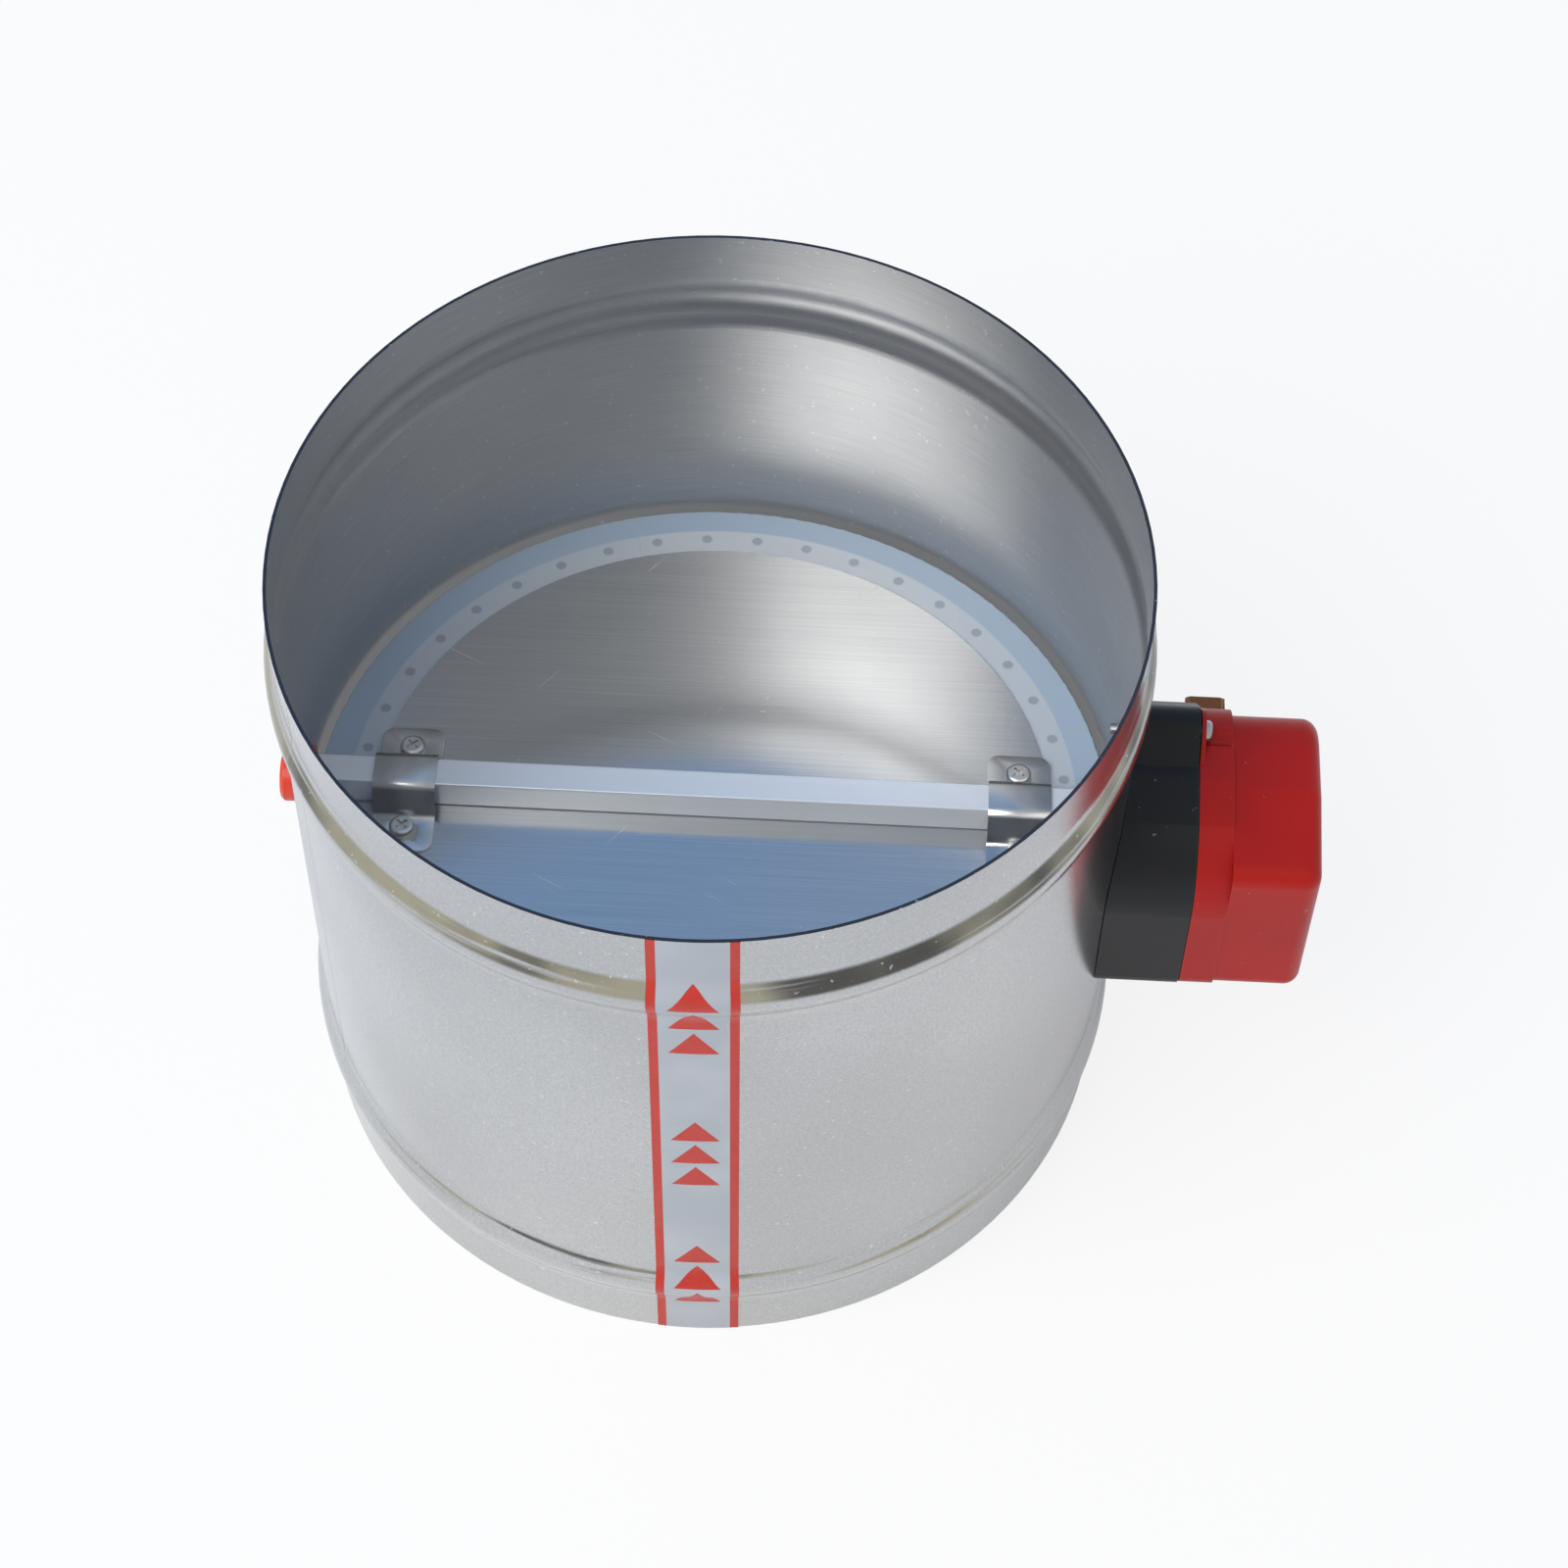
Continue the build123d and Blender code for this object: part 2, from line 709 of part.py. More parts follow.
idler_bearing = degrees(atan2(idler_height - shaft_height, idler_offset_y))
motor_bearing = 0.0
idler_pinion_tooth = idler_bearing + 180 + 180 / idler_pinion_teeth
motor_tooth = motor_bearing + 180 + 180 / motor_teeth

with BuildPart() as damper_gear:
    with BuildSketch(across_blade(hub_start)):
        Circle(hub_radius)
    extrude(amount=hub_end - hub_start)
    with BuildSketch(across_blade(hub_end)):
        Circle(hub_nose_radius)
    extrude(amount=nose_end - hub_end)
    with BuildSketch(across(damper_gear_start)):
        with Locations((0, shaft_height)):
            add(gear_outline(slow_module, damper_teeth, idler_bearing))
    extrude(amount=damper_gear_width)
    with BuildSketch(across_blade(hub_start)):
        Rectangle(shaft_side + 2 * slip, shaft_side + 2 * slip)
    extrude(amount=shaft_right - hub_start + slip, mode=Mode.SUBTRACT)

damper_gear.part.label = "damper_gear"
export_step(damper_gear.part, "parts/damper_gear.step")

with BuildPart() as idler_gear:
    with BuildSketch(across(idler_start)):
        with Locations(idler_centre):
            add(gear_outline(slow_module, idler_pinion_teeth, idler_pinion_tooth))
    extrude(amount=idler_wheel_start - idler_start)
    with BuildSketch(across(idler_wheel_start)):
        with Locations(idler_centre):
            add(gear_outline(fast_module, idler_wheel_teeth, motor_bearing))
    extrude(amount=idler_wheel_width)
    with BuildSketch(across(idler_start)):
        with Locations(idler_centre):
            Circle(spindle_radius + running)
    extrude(amount=idler_end - idler_start, mode=Mode.SUBTRACT)

idler_gear.part.label = "idler_gear"
export_step(idler_gear.part, "parts/idler_gear.step")

with BuildPart() as idler_spindle:
    with BuildSketch(across(base_floor - 4.5)):
        with Locations(idler_centre):
            Circle(spindle_radius)
    extrude(amount=plate_back + 0.8 - base_floor + 4.5)
    chamfer(idler_spindle.edges().filter_by(GeomType.CIRCLE), 0.4)

idler_spindle.part.label = "idler_spindle"
export_step(idler_spindle.part, "parts/idler_spindle.step")

pinion_end = plate_level - 1.1
with BuildPart() as motor_pinion:
    with BuildSketch(across(pinion_end - motor_pinion_width)):
        with Locations(motor_centre):
            add(gear_outline(fast_module, motor_teeth, motor_tooth))
    extrude(amount=motor_pinion_width)
    with BuildSketch(across(pinion_end)):
        with Locations(motor_centre):
            Circle(motor_shaft_radius)
    extrude(amount=7.0)

motor_pinion.part.label = "motor_pinion"
export_step(motor_pinion.part, "parts/motor_pinion.step")

with BuildPart() as motor:
    with BuildSketch(across(plate_back)):
        with Locations(motor_centre):
            Circle(motor_radius)
    extrude(amount=motor_length)
    fillet(motor.edges().filter_by(GeomType.CIRCLE).sort_by(Axis.X)[-1], 1.5)
    with BuildSketch(across(pinion_end + gap)):
        with Locations(motor_centre):
            Circle(motor_boss_radius)
    extrude(amount=plate_back - pinion_end - gap)
    with BuildSketch(across(pinion_end + gap)):
        with Locations(motor_centre):
            Circle(motor_shaft_radius + running)
    extrude(amount=8.0, mode=Mode.SUBTRACT)
    with BuildSketch(across(plate_back + motor_length)):
        with Locations(motor_centre):
            with GridLocations(10, 0, 2, 1):
                Rectangle(0.8, 3)
    extrude(amount=3.5)

motor.part.label = "motor"
export_step(motor.part, "parts/motor.step")

with BuildPart() as gear_plate:
    with BuildSketch(across(plate_level)):
        offset(housing_outline(), amount=-base_wall - gap)
        with Locations((0, shaft_height)):
            Circle(hub_radius + running, mode=Mode.SUBTRACT)
        with Locations(idler_centre):
            Circle(spindle_radius + running, mode=Mode.SUBTRACT)
        with Locations(motor_centre):
            Circle(motor_boss_radius + running, mode=Mode.SUBTRACT)
        with Locations(plate_post_spots):
            Circle(plate_screw_radius + running, mode=Mode.SUBTRACT)
    extrude(amount=plate_thickness)

gear_plate.part.label = "gear_plate"
export_step(gear_plate.part, "parts/gear_plate.step")

with BuildPart() as position_cam:
    with BuildSketch(across(hub_end + gap)):
        with Locations((0, shaft_height)):
            Circle(cam_radius)
        with BuildLine():
            CenterArc((0, shaft_height), cam_radius + cam_lobe, 60, 60)
            Line((0, shaft_height), (0, shaft_height) + Vector(cam_radius + cam_lobe, 0).rotate(Axis.Z, 60))
            Line((0, shaft_height), (0, shaft_height) + Vector(cam_radius + cam_lobe, 0).rotate(Axis.Z, 120))
        make_face()
        with Locations((0, shaft_height)):
            Circle(hub_nose_radius + running, mode=Mode.SUBTRACT)
    extrude(amount=cam_thickness)

position_cam.part.label = "position_cam"
export_step(position_cam.part, "parts/position_cam.step")

switch_bottom = shaft_height + cam_radius + cam_lobe + 2.0
with BuildPart() as limit_switches:
    for side in (-1, 1):
        middle_y = side * (switch_size[1] / 2 + gap)
        with BuildSketch(across(plate_back)):
            with Locations((middle_y, switch_bottom + switch_size[2] / 2)):
                Rectangle(switch_size[1], switch_size[2])
                with GridLocations(9.5, 0, 2, 1):
                    Circle(1.1, mode=Mode.SUBTRACT)
        extrude(amount=switch_size[0])
        with BuildSketch(across(plate_back + 1)):
            with Locations((middle_y, switch_bottom - 0.75)):
                Rectangle(switch_size[1] - 4, 1.5)
        extrude(amount=switch_size[0] - 2)

limit_switches.part.label = "limit_switches"
export_step(limit_switches.part, "parts/limit_switches.step")

# ---------------------------------------------------------------- circuit board
with BuildPart() as board_pillars:
    with BuildSketch(across(plate_back)):
        with Locations(post_spots):
            RegularPolygon(pillar_radius, 6)
    extrude(amount=board_level - plate_back)
    with BuildSketch(across(plate_level - 6)):
        with Locations(post_spots):
            Circle(plate_screw_radius)
    extrude(amount=plate_back - plate_level + 6)

board_pillars.part.label = "board_pillars"
export_step(board_pillars.part, "parts/board_pillars.step")

with BuildPart() as plate_screw:
    with BuildSketch(across(plate_back)):
        with Locations(plate_post_spots[-1]):
            Circle(plate_screw_radius * 2)
    extrude(amount=2.0)
    with BuildSketch(across(plate_level - 6)):
        with Locations(plate_post_spots[-1]):
            Circle(plate_screw_radius)
    extrude(amount=plate_back - plate_level + 6)

plate_screw.part.label = "plate_screw"
export_step(plate_screw.part, "parts/plate_screw.step")

with BuildPart() as circuit_board:
    with BuildSketch(across(board_level)) as board_outline:
        with BuildLine():
            Polyline(
                (board_front, shaft_height - board_below),
                (board_back_edge, shaft_height - board_below),
                (board_back_edge, shaft_height + board_above),
                (board_front, shaft_height + board_above),
                close=True,
            )
        make_face()
        chamfer(board_outline.vertices(), board_corner)
        with Locations(post_spots):
            Circle(plate_screw_radius + running, mode=Mode.SUBTRACT)
    extrude(amount=board_thickness)

circuit_board.part.label = "circuit_board"
export_step(circuit_board.part, "parts/circuit_board.step")

board_back = board_level + board_thickness
with BuildPart() as board_components:
    with BuildSketch(across(board_back)):
        with Locations((relay_centre[0], shaft_height + relay_centre[1])):
            Rectangle(relay_size[0], relay_size[1])
    extrude(amount=relay_size[2])
    with BuildSketch(across(board_back)):
        with Locations([(y, shaft_height + z) for y, z in capacitor_centres]):
            Circle(capacitor_radius)
    extrude(amount=capacitor_height)
    with BuildSketch(across(board_back)):
        with Locations((chip_centre[0], shaft_height + chip_centre[1])):
            Rectangle(chip_size[0], chip_size[1])
    extrude(amount=chip_size[2])

board_components.part.label = "board_components"
export_step(board_components.part, "parts/board_components.step")

with BuildPart() as board_screws:
    with BuildSketch(across(board_back)):
        with Locations(post_spots):
            Circle(plate_screw_radius * 1.8)
    extrude(amount=1.8)

board_screws.part.label = "board_screws"
export_step(board_screws.part, "parts/board_screws.step")

with BuildPart() as terminal_block:
    with BuildSketch(across(board_level)):
        with Locations((terminal_centre[0], shaft_height + terminal_centre[1])):
            Rectangle(terminal_size[0], terminal_size[1])
    extrude(amount=-terminal_size[2])

terminal_block.part.label = "terminal_block"
export_step(terminal_block.part, "parts/terminal_block.step")

# ---------------------------------------------------------------- cable gland
neck_start = cover_back + gland_collar
neck_end = neck_start + 9.0
gland_end = housing_back + gland_reach
with BuildPart() as gland_body:
    with BuildSketch(facing_back(gland_inside)):
        with Locations((-gland_x, gland_height)):
            Circle(gland_tube_radius)
    extrude(amount=cover_back - gland_inside)
    with BuildSketch(facing_back(cover_back)):
        with Locations((-gland_x, gland_height)):
            Circle(gland_radius)
    extrude(amount=gland_collar)
    with BuildSketch(facing_back(neck_start)):
        with Locations((-gland_x, gland_height)):
            Circle(gland_neck_radius)
    extrude(amount=neck_end - neck_start)
    with BuildSketch(facing_back(gland_inside)):
        with Locations((-gland_x, gland_height)):
            Circle(gland_bore_radius + gap)
    extrude(amount=neck_start - gland_inside, mode=Mode.SUBTRACT)
    with BuildSketch(facing_back(neck_start)):
        with Locations((-gland_x, gland_height)):
            Circle(gland_neck_radius - 1.1)
    extrude(amount=neck_end - neck_start, mode=Mode.SUBTRACT)

gland_body.part.label = "gland_body"
export_step(gland_body.part, "parts/gland_body.step")

with BuildPart() as gland_seal:
    with BuildSketch(facing_back(neck_start)):
        with Locations((-gland_x, gland_height)):
            Circle(gland_neck_radius - 1.1 - running)
            Circle(gland_bore_radius, mode=Mode.SUBTRACT)
    extrude(amount=neck_end - neck_start)

gland_seal.part.label = "gland_seal"
export_step(gland_seal.part, "parts/gland_seal.step")

with BuildPart() as gland_nut:
    with BuildSketch(facing_back(neck_start + gap)):
        with Locations((-gland_x, gland_height)):
            Circle(gland_radius)
    extrude(amount=gland_end - neck_start - gap)
    fillet(gland_nut.edges().filter_by(GeomType.CIRCLE).sort_by(Axis.Y)[-1], 2.0)
    with BuildSketch(facing_back(neck_start + gap)):
        with Locations((-gland_x, gland_height)):
            Circle(gland_neck_radius + running)
    extrude(amount=neck_end - neck_start, mode=Mode.SUBTRACT)
    with BuildSketch(facing_back(neck_end)):
        with Locations((-gland_x, gland_height)):
            Circle(gland_bore_radius + gap)
    extrude(amount=gland_end - neck_end, mode=Mode.SUBTRACT)

gland_nut.part.label = "gland_nut"
export_step(gland_nut.part, "parts/gland_nut.step")

inside_back = housing_back - 1.5 * cover_inset - cover_wall
with BuildPart() as gland_locknut:
    with BuildSketch(facing_back(inside_back)):
        with Locations((-gland_x, gland_height)):
            RegularPolygon(6.8, 6)
            Circle(gland_tube_radius + running, mode=Mode.SUBTRACT)
    extrude(amount=-3.0)

gland_locknut.part.label = "gland_locknut"
export_step(gland_locknut.part, "parts/gland_locknut.step")
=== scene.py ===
# %% [markdown]
# # A round volume control damper
# The object is a stainless duct section with a butterfly blade inside and an electric
# actuator on its side. The CAD nodes already have the right shapes, so most of the work here
# is finishes: rolled and polished sheet, translucent silicone, moulded plastic and zinc.
# A few small pieces that a close look needs are modelled in later cells.

# %% Load the frame
import json
from math import pi, radians

import bmesh
import bpy
from mathutils import Matrix, Vector


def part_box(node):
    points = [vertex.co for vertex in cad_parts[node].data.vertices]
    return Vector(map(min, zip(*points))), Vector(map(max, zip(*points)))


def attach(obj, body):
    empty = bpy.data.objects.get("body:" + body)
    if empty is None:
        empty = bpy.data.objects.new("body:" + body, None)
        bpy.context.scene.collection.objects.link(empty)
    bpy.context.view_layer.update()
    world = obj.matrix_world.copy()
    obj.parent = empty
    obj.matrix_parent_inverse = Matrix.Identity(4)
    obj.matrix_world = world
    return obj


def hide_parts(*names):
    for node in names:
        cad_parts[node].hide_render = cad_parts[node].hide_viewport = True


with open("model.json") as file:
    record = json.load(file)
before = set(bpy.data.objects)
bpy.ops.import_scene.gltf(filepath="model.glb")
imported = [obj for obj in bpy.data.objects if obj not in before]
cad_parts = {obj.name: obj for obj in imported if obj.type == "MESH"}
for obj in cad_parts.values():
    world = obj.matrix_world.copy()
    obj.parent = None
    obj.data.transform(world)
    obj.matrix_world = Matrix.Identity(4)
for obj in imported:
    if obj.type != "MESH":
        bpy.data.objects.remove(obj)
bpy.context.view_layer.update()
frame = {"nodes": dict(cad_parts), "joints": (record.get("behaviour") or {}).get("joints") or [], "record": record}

# %% [markdown]
# The camera stands above the front of the damper and looks down into it. A matrix built from
# three axes gives its place and its slight roll exactly, which is simpler than three angles.

# %% Camera
camera_place = (0.04854, -0.75028, 1.2286)
camera_data = bpy.data.cameras.new("camera")
camera_data.lens = 83.1
camera_data.sensor_width = 36.0
camera = bpy.data.objects.new("camera", camera_data)
bpy.context.collection.objects.link(camera)
right = Vector((0.99876, 0.0481, 0.0127))
back = Vector((0.0169, -0.5682, 0.8227)).normalized()
up = back.cross(right).normalized()
right = up.cross(back)
turned = Matrix((right, up, back)).transposed().to_4x4()
camera.matrix_world = Matrix.Translation(camera_place) @ turned
bpy.context.scene.camera = camera
bpy.context.scene.view_settings.view_transform = "Standard"
print("camera at", tuple(round(c, 3) for c in camera.location))

# %% [markdown]
# Materials are trees of nodes. Three short helpers add a node with its settings, feed its
# sockets, and open a new node group, so that each finish below reads as a list of what it does.


# %% Helpers for node trees
def add_node(tree, kind, inputs=None, **settings):
    made = tree.nodes.new("ShaderNode" + kind)
    for name, value in settings.items():
        setattr(made, name, value)
    for key, value in (inputs or {}).items():
        feed(tree, made.inputs[key], value)
    return made


def feed(tree, socket, value):
    if isinstance(value, bpy.types.NodeSocket):
        tree.links.new(value, socket)
    else:
        socket.default_value = value


def maths(tree, operation, *values, clamp=False):
    made = add_node(tree, "Math", operation=operation, use_clamp=clamp)
    for socket, value in zip(made.inputs, values):
        feed(tree, socket, value)
    return made.outputs[0]


def ramp(tree, value, low, high):
    """0 at low, 1 at high, smooth between."""
    made = add_node(tree, "MapRange", {"Value": value, "From Min": low, "From Max": high})
    made.interpolation_type = "SMOOTHSTEP"
    return made.outputs["Result"]


def blend_colour(tree, factor, first, second):
    made = add_node(tree, "Mix", data_type="RGBA")
    feed(tree, made.inputs[0], factor)
    feed(tree, made.inputs[6], first)
    feed(tree, made.inputs[7], second)
    return made.outputs[2]


def new_group(name, inputs, outputs):
    tree = bpy.data.node_groups.new(name, "ShaderNodeTree")
    for socket_name, value in inputs.items():
        socket = tree.interface.new_socket(socket_name, in_out="INPUT", socket_type="NodeSocketFloat")
        socket.default_value = value
    for socket_name in outputs:
        tree.interface.new_socket(socket_name, in_out="OUTPUT", socket_type="NodeSocketFloat")
    entry = tree.nodes.new("NodeGroupInput")
    leave = tree.nodes.new("NodeGroupOutput")
    return tree, entry, leave


print("helpers ready")

# %% [markdown]
# Sheet that was rolled or brushed shows fine streaks that follow the rolling. Round the
# casing they run round the axis, so the group reads the angle and the height instead of X
# and Y. Noise stretched along the angle gives the streaks.

# %% Streaks round the axis
round_streaks, entry, leave = new_group(
    "round_streaks", {"Around": 6.0, "Along": 900.0, "Detail": 3.0}, ["Streak", "Cloud"]
)
place = add_node(round_streaks, "TexCoord").outputs["Object"]
split = add_node(round_streaks, "SeparateXYZ", {"Vector": place})
angle = maths(round_streaks, "ARCTAN2", split.outputs["Y"], split.outputs["X"])
stretched = add_node(
    round_streaks,
    "CombineXYZ",
    {
        "X": maths(round_streaks, "MULTIPLY", angle, entry.outputs["Around"]),
        "Y": maths(round_streaks, "MULTIPLY", split.outputs["Z"], entry.outputs["Along"]),
    },
)
streak = add_node(
    round_streaks,
    "TexNoise",
    {"Vector": stretched.outputs[0], "Scale": 1.0, "Detail": entry.outputs["Detail"]},
)
cloud = add_node(round_streaks, "TexNoise", {"Vector": place, "Scale": 14.0, "Detail": 3.0})
round_streaks.links.new(streak.outputs["Fac"], leave.inputs["Streak"])
round_streaks.links.new(cloud.outputs["Fac"], leave.inputs["Cloud"])
print("group", round_streaks.name)

# %% [markdown]
# Flat sheet and bar show straight streaks instead. The same idea works on plain Object
# coordinates, with each axis scaled by its own value.

# %% Straight streaks
straight_streaks, entry, leave = new_group(
    "straight_streaks", {"Across X": 20.0, "Across Y": 900.0, "Across Z": 900.0}, ["Streak"]
)
place = add_node(straight_streaks, "TexCoord").outputs["Object"]
split = add_node(straight_streaks, "SeparateXYZ", {"Vector": place})
stretched = add_node(
    straight_streaks,
    "CombineXYZ",
    {
        axis: maths(straight_streaks, "MULTIPLY", split.outputs[axis], entry.outputs["Across " + axis])
        for axis in "XYZ"
    },
)
streak = add_node(
    straight_streaks, "TexNoise", {"Vector": stretched.outputs[0], "Scale": 1.0, "Detail": 4.0}
)
straight_streaks.links.new(streak.outputs["Fac"], leave.inputs["Streak"])
print("group", straight_streaks.name)

# %% [markdown]
# Polished sheet is never quite even: at arm's length it looks finely mottled, and dust settles
# on it as specks. One group gives a fine mottle, a broad smudge and sparse specks.

# %% Mottle, smudges and specks
mottle_group, entry, leave = new_group(
    "mottle_and_dust", {"Fine": 900.0, "Broad": 9.0, "Dust": 0.70}, ["Fine", "Smudge", "Specks"]
)
place = add_node(mottle_group, "TexCoord").outputs["Object"]
fine = add_node(
    mottle_group, "TexNoise", {"Vector": place, "Scale": entry.outputs["Fine"], "Detail": 2.0}
)
broad = add_node(
    mottle_group, "TexNoise", {"Vector": place, "Scale": entry.outputs["Broad"], "Detail": 1.5}
)
dust = add_node(mottle_group, "TexNoise", {"Vector": place, "Scale": 420.0, "Detail": 1.0})
limit = maths(mottle_group, "ADD", entry.outputs["Dust"], 0.03)
specks = add_node(
    mottle_group,
    "MapRange",
    {"Value": dust.outputs["Fac"], "From Min": entry.outputs["Dust"], "From Max": limit},
)
mottle_group.links.new(fine.outputs["Fac"], leave.inputs["Fine"])
mottle_group.links.new(ramp(mottle_group, broad.outputs["Fac"], 0.35, 0.7), leave.inputs["Smudge"])
mottle_group.links.new(specks.outputs["Result"], leave.inputs["Specks"])
print("group", mottle_group.name)

# %% [markdown]
# Edges of handled parts are rubbed brighter. The Bevel node rounds the normal near an edge,
# so where it differs from the true normal there is an edge, and that difference is the mask.

# %% Edge wear
edge_group, entry, leave = new_group("edge_wear", {"Radius": 0.0006}, ["Edge"])
rounded = add_node(edge_group, "Bevel", {"Radius": entry.outputs["Radius"]}, samples=4)
true_normal = add_node(edge_group, "NewGeometry").outputs["Normal"]
alike = add_node(
    edge_group,
    "VectorMath",
    {0: rounded.outputs["Normal"], 1: true_normal},
    operation="DOT_PRODUCT",
)
edge_mask = ramp(edge_group, alike.outputs["Value"], 0.995, 0.90)
edge_group.links.new(edge_mask, leave.inputs["Edge"])
print("group", edge_group.name)

# %% [markdown]
# Sheet metal picks up fine straight scratches. Very stretched noise, cut by a second noise,
# leaves short hairlines in one direction; a material places the group twice to cross them.

# %% Scratches
scratch_group, entry, leave = new_group("hairlines", {"Turn": 0.6, "Amount": 0.66}, ["Lines"])
place = add_node(scratch_group, "TexCoord").outputs["Object"]
turned_place = add_node(
    scratch_group,
    "VectorRotate",
    {"Vector": place, "Angle": entry.outputs["Turn"]},
    rotation_type="Z_AXIS",
)
long_place = add_node(
    scratch_group,
    "Mapping",
    {"Vector": turned_place.outputs[0], "Scale": (22.0, 1500.0, 22.0)},
)
hair = add_node(
    scratch_group, "TexNoise", {"Vector": long_place.outputs[0], "Scale": 1.0, "Detail": 1.0}
)
above = maths(scratch_group, "ADD", entry.outputs["Amount"], 0.02)
lines = add_node(
    scratch_group,
    "MapRange",
    {"Value": hair.outputs["Fac"], "From Min": entry.outputs["Amount"], "From Max": above},
)
patch = add_node(scratch_group, "TexNoise", {"Vector": place, "Scale": 25.0, "Detail": 0.0})
kept = maths(
    scratch_group, "MULTIPLY", lines.outputs["Result"], ramp(scratch_group, patch.outputs["Fac"], 0.5, 0.62)
)
scratch_group.links.new(kept, leave.inputs["Lines"])
print("group", scratch_group.name)


# %% [markdown]
# Every finish starts from a Principled shader. This helper makes the material and sets the
# values that are the same all over; what varies is linked afterwards.


# %% A new finish
def new_finish(name, colour, roughness, metallic=0.0, **plain):
    material = bpy.data.materials.new(name)
    material.use_nodes = True
    tree = material.node_tree
    shader = tree.nodes["Principled BSDF"]
    shader.inputs["Base Color"].default_value = (*colour, 1.0)
    shader.inputs["Roughness"].default_value = roughness
    shader.inputs["Metallic"].default_value = metallic
    for socket_name, value in plain.items():
        shader.inputs[socket_name.replace("_", " ")].default_value = value
    return material, tree, shader


def place_group(tree, group, **values):
    made = tree.nodes.new("ShaderNodeGroup")
    made.node_tree = group
    for name, value in values.items():
        feed(tree, made.inputs[name.replace("_", " ")], value)
    return made.outputs


def bump(tree, shader, height, strength, distance):
    made = add_node(
        tree, "Bump", {"Strength": strength, "Distance": distance, "Height": height}
    )
    tree.links.new(made.outputs["Normal"], shader.inputs["Normal"])
    return made


print("finish helpers ready")

# %% [markdown]
# The casing is one sheet with two faces: the outside is polished and the inside is left satin.
# The two are told apart by the way the surface faces, out from the duct's axis or in towards it.
# Along the beads' flanks a darker, partly golden band is painted in as a painted reflection of the surroundings,
# and the tube is closed by one weld down its left side.

# %% Casing: places on the tube
casing_finish, tree, shader = new_finish("polished_casing", (0.62, 0.62, 0.62), 0.2, 1.0)
shader.inputs["Anisotropic"].default_value = 0.3
place = add_node(tree, "TexCoord").outputs["Object"]
split = add_node(tree, "SeparateXYZ", {"Vector": place})
flat_place = add_node(tree, "CombineXYZ", {"X": split.outputs["X"], "Y": split.outputs["Y"]})
outward = add_node(tree, "VectorMath", {0: flat_place.outputs[0]}, operation="NORMALIZE")
true_normal = add_node(tree, "NewGeometry").outputs["Normal"]
facing = add_node(
    tree, "VectorMath", {0: outward.outputs[0], 1: true_normal}, operation="DOT_PRODUCT"
).outputs["Value"]
outside = ramp(tree, facing, -0.05, 0.05)

# %% Casing: colour
streaks = place_group(tree, round_streaks, Around=5.0, Along=1400.0, Detail=3.0)
mottle = place_group(tree, mottle_group, Fine=1100.0, Broad=8.0, Dust=0.72)
polished = blend_colour(tree, mottle["Fine"], (0.42, 0.425, 0.43, 1), (0.72, 0.72, 0.715, 1))
satin = blend_colour(tree, streaks["Streak"], (0.42, 0.43, 0.45, 1), (0.62, 0.62, 0.62, 1))
tired = maths(tree, "MULTIPLY", mottle["Smudge"], 0.22)
polished = blend_colour(tree, tired, polished, (0.30, 0.30, 0.31, 1))
sheet = blend_colour(tree, outside, satin, polished)
# Painted reflection: dark to golden bands along the bead flanks, patchy round the tube, stand for the surroundings
# mirrored in the beads.
painted_reflection_bands = []
reflection_patch_noise = place_group(tree, round_streaks, Around=1.6, Along=260.0, Detail=2.0)["Streak"]
for crest, patchy in ((0.235, 0.28), (0.035, 0.50)):
    off_crest = maths(tree, "SUBTRACT", split.outputs["Z"], crest)
    upper = maths(tree, "ABSOLUTE", maths(tree, "SUBTRACT", off_crest, 0.0062))
    reflection_on_flank = ramp(tree, upper, 0.0052, 0.0030)
    kept = ramp(tree, reflection_patch_noise, patchy, patchy + 0.18)
    painted_reflection_bands.append(maths(tree, "MULTIPLY", reflection_on_flank, kept))
painted_reflection_band = maths(tree, "MAXIMUM", *painted_reflection_bands)
painted_reflection_band = maths(tree, "MULTIPLY", painted_reflection_band, outside)
reflection_warmth = ramp(tree, streaks["Cloud"], 0.36, 0.56)
painted_reflection_tint = blend_colour(tree, reflection_warmth, (0.05, 0.045, 0.035, 1), (0.36, 0.33, 0.225, 1))
sheet = blend_colour(tree, maths(tree, "MULTIPLY", painted_reflection_band, 0.9), sheet, painted_reflection_tint)
rim = ramp(tree, add_node(tree, "SeparateXYZ", {"Vector": true_normal}).outputs["Z"], 0.9, 0.97)
sheet = blend_colour(tree, rim, sheet, (0.08, 0.08, 0.09, 1))
sheet = blend_colour(tree, maths(tree, "MULTIPLY", mottle["Specks"], 0.4), sheet, (0.85, 0.85, 0.84, 1))
tree.links.new(sheet, shader.inputs["Base Color"])
print("casing colour linked")

# %% Casing: gloss, weld and grain
weld_angle = radians(206)
angle = maths(tree, "ARCTAN2", split.outputs["Y"], split.outputs["X"])
off_weld = maths(tree, "ABSOLUTE", maths(tree, "SUBTRACT", angle, weld_angle - 2 * pi))
weld = ramp(tree, off_weld, 0.012, 0.004)
gloss = maths(tree, "MULTIPLY_ADD", outside, -0.26, 0.41)
gloss = maths(tree, "ADD", gloss, maths(tree, "MULTIPLY", mottle["Smudge"], 0.06))
gloss = maths(tree, "ADD", gloss, maths(tree, "MULTIPLY", streaks["Cloud"], 0.06))
tree.links.new(gloss, shader.inputs["Roughness"])
height = maths(tree, "MULTIPLY", streaks["Streak"], 0.25)
height = maths(tree, "ADD", height, maths(tree, "MULTIPLY", mottle["Fine"], 0.35))
height = maths(tree, "ADD", height, maths(tree, "MULTIPLY", weld, 2.5))
bump(tree, shader, height, 0.25, 0.0003)
print("casing finish done")

# %% [markdown]
# The blade is two discs of thinner satin sheet. Their grain runs straight along the shaft, and
# both carry a few hairline scratches from handling.

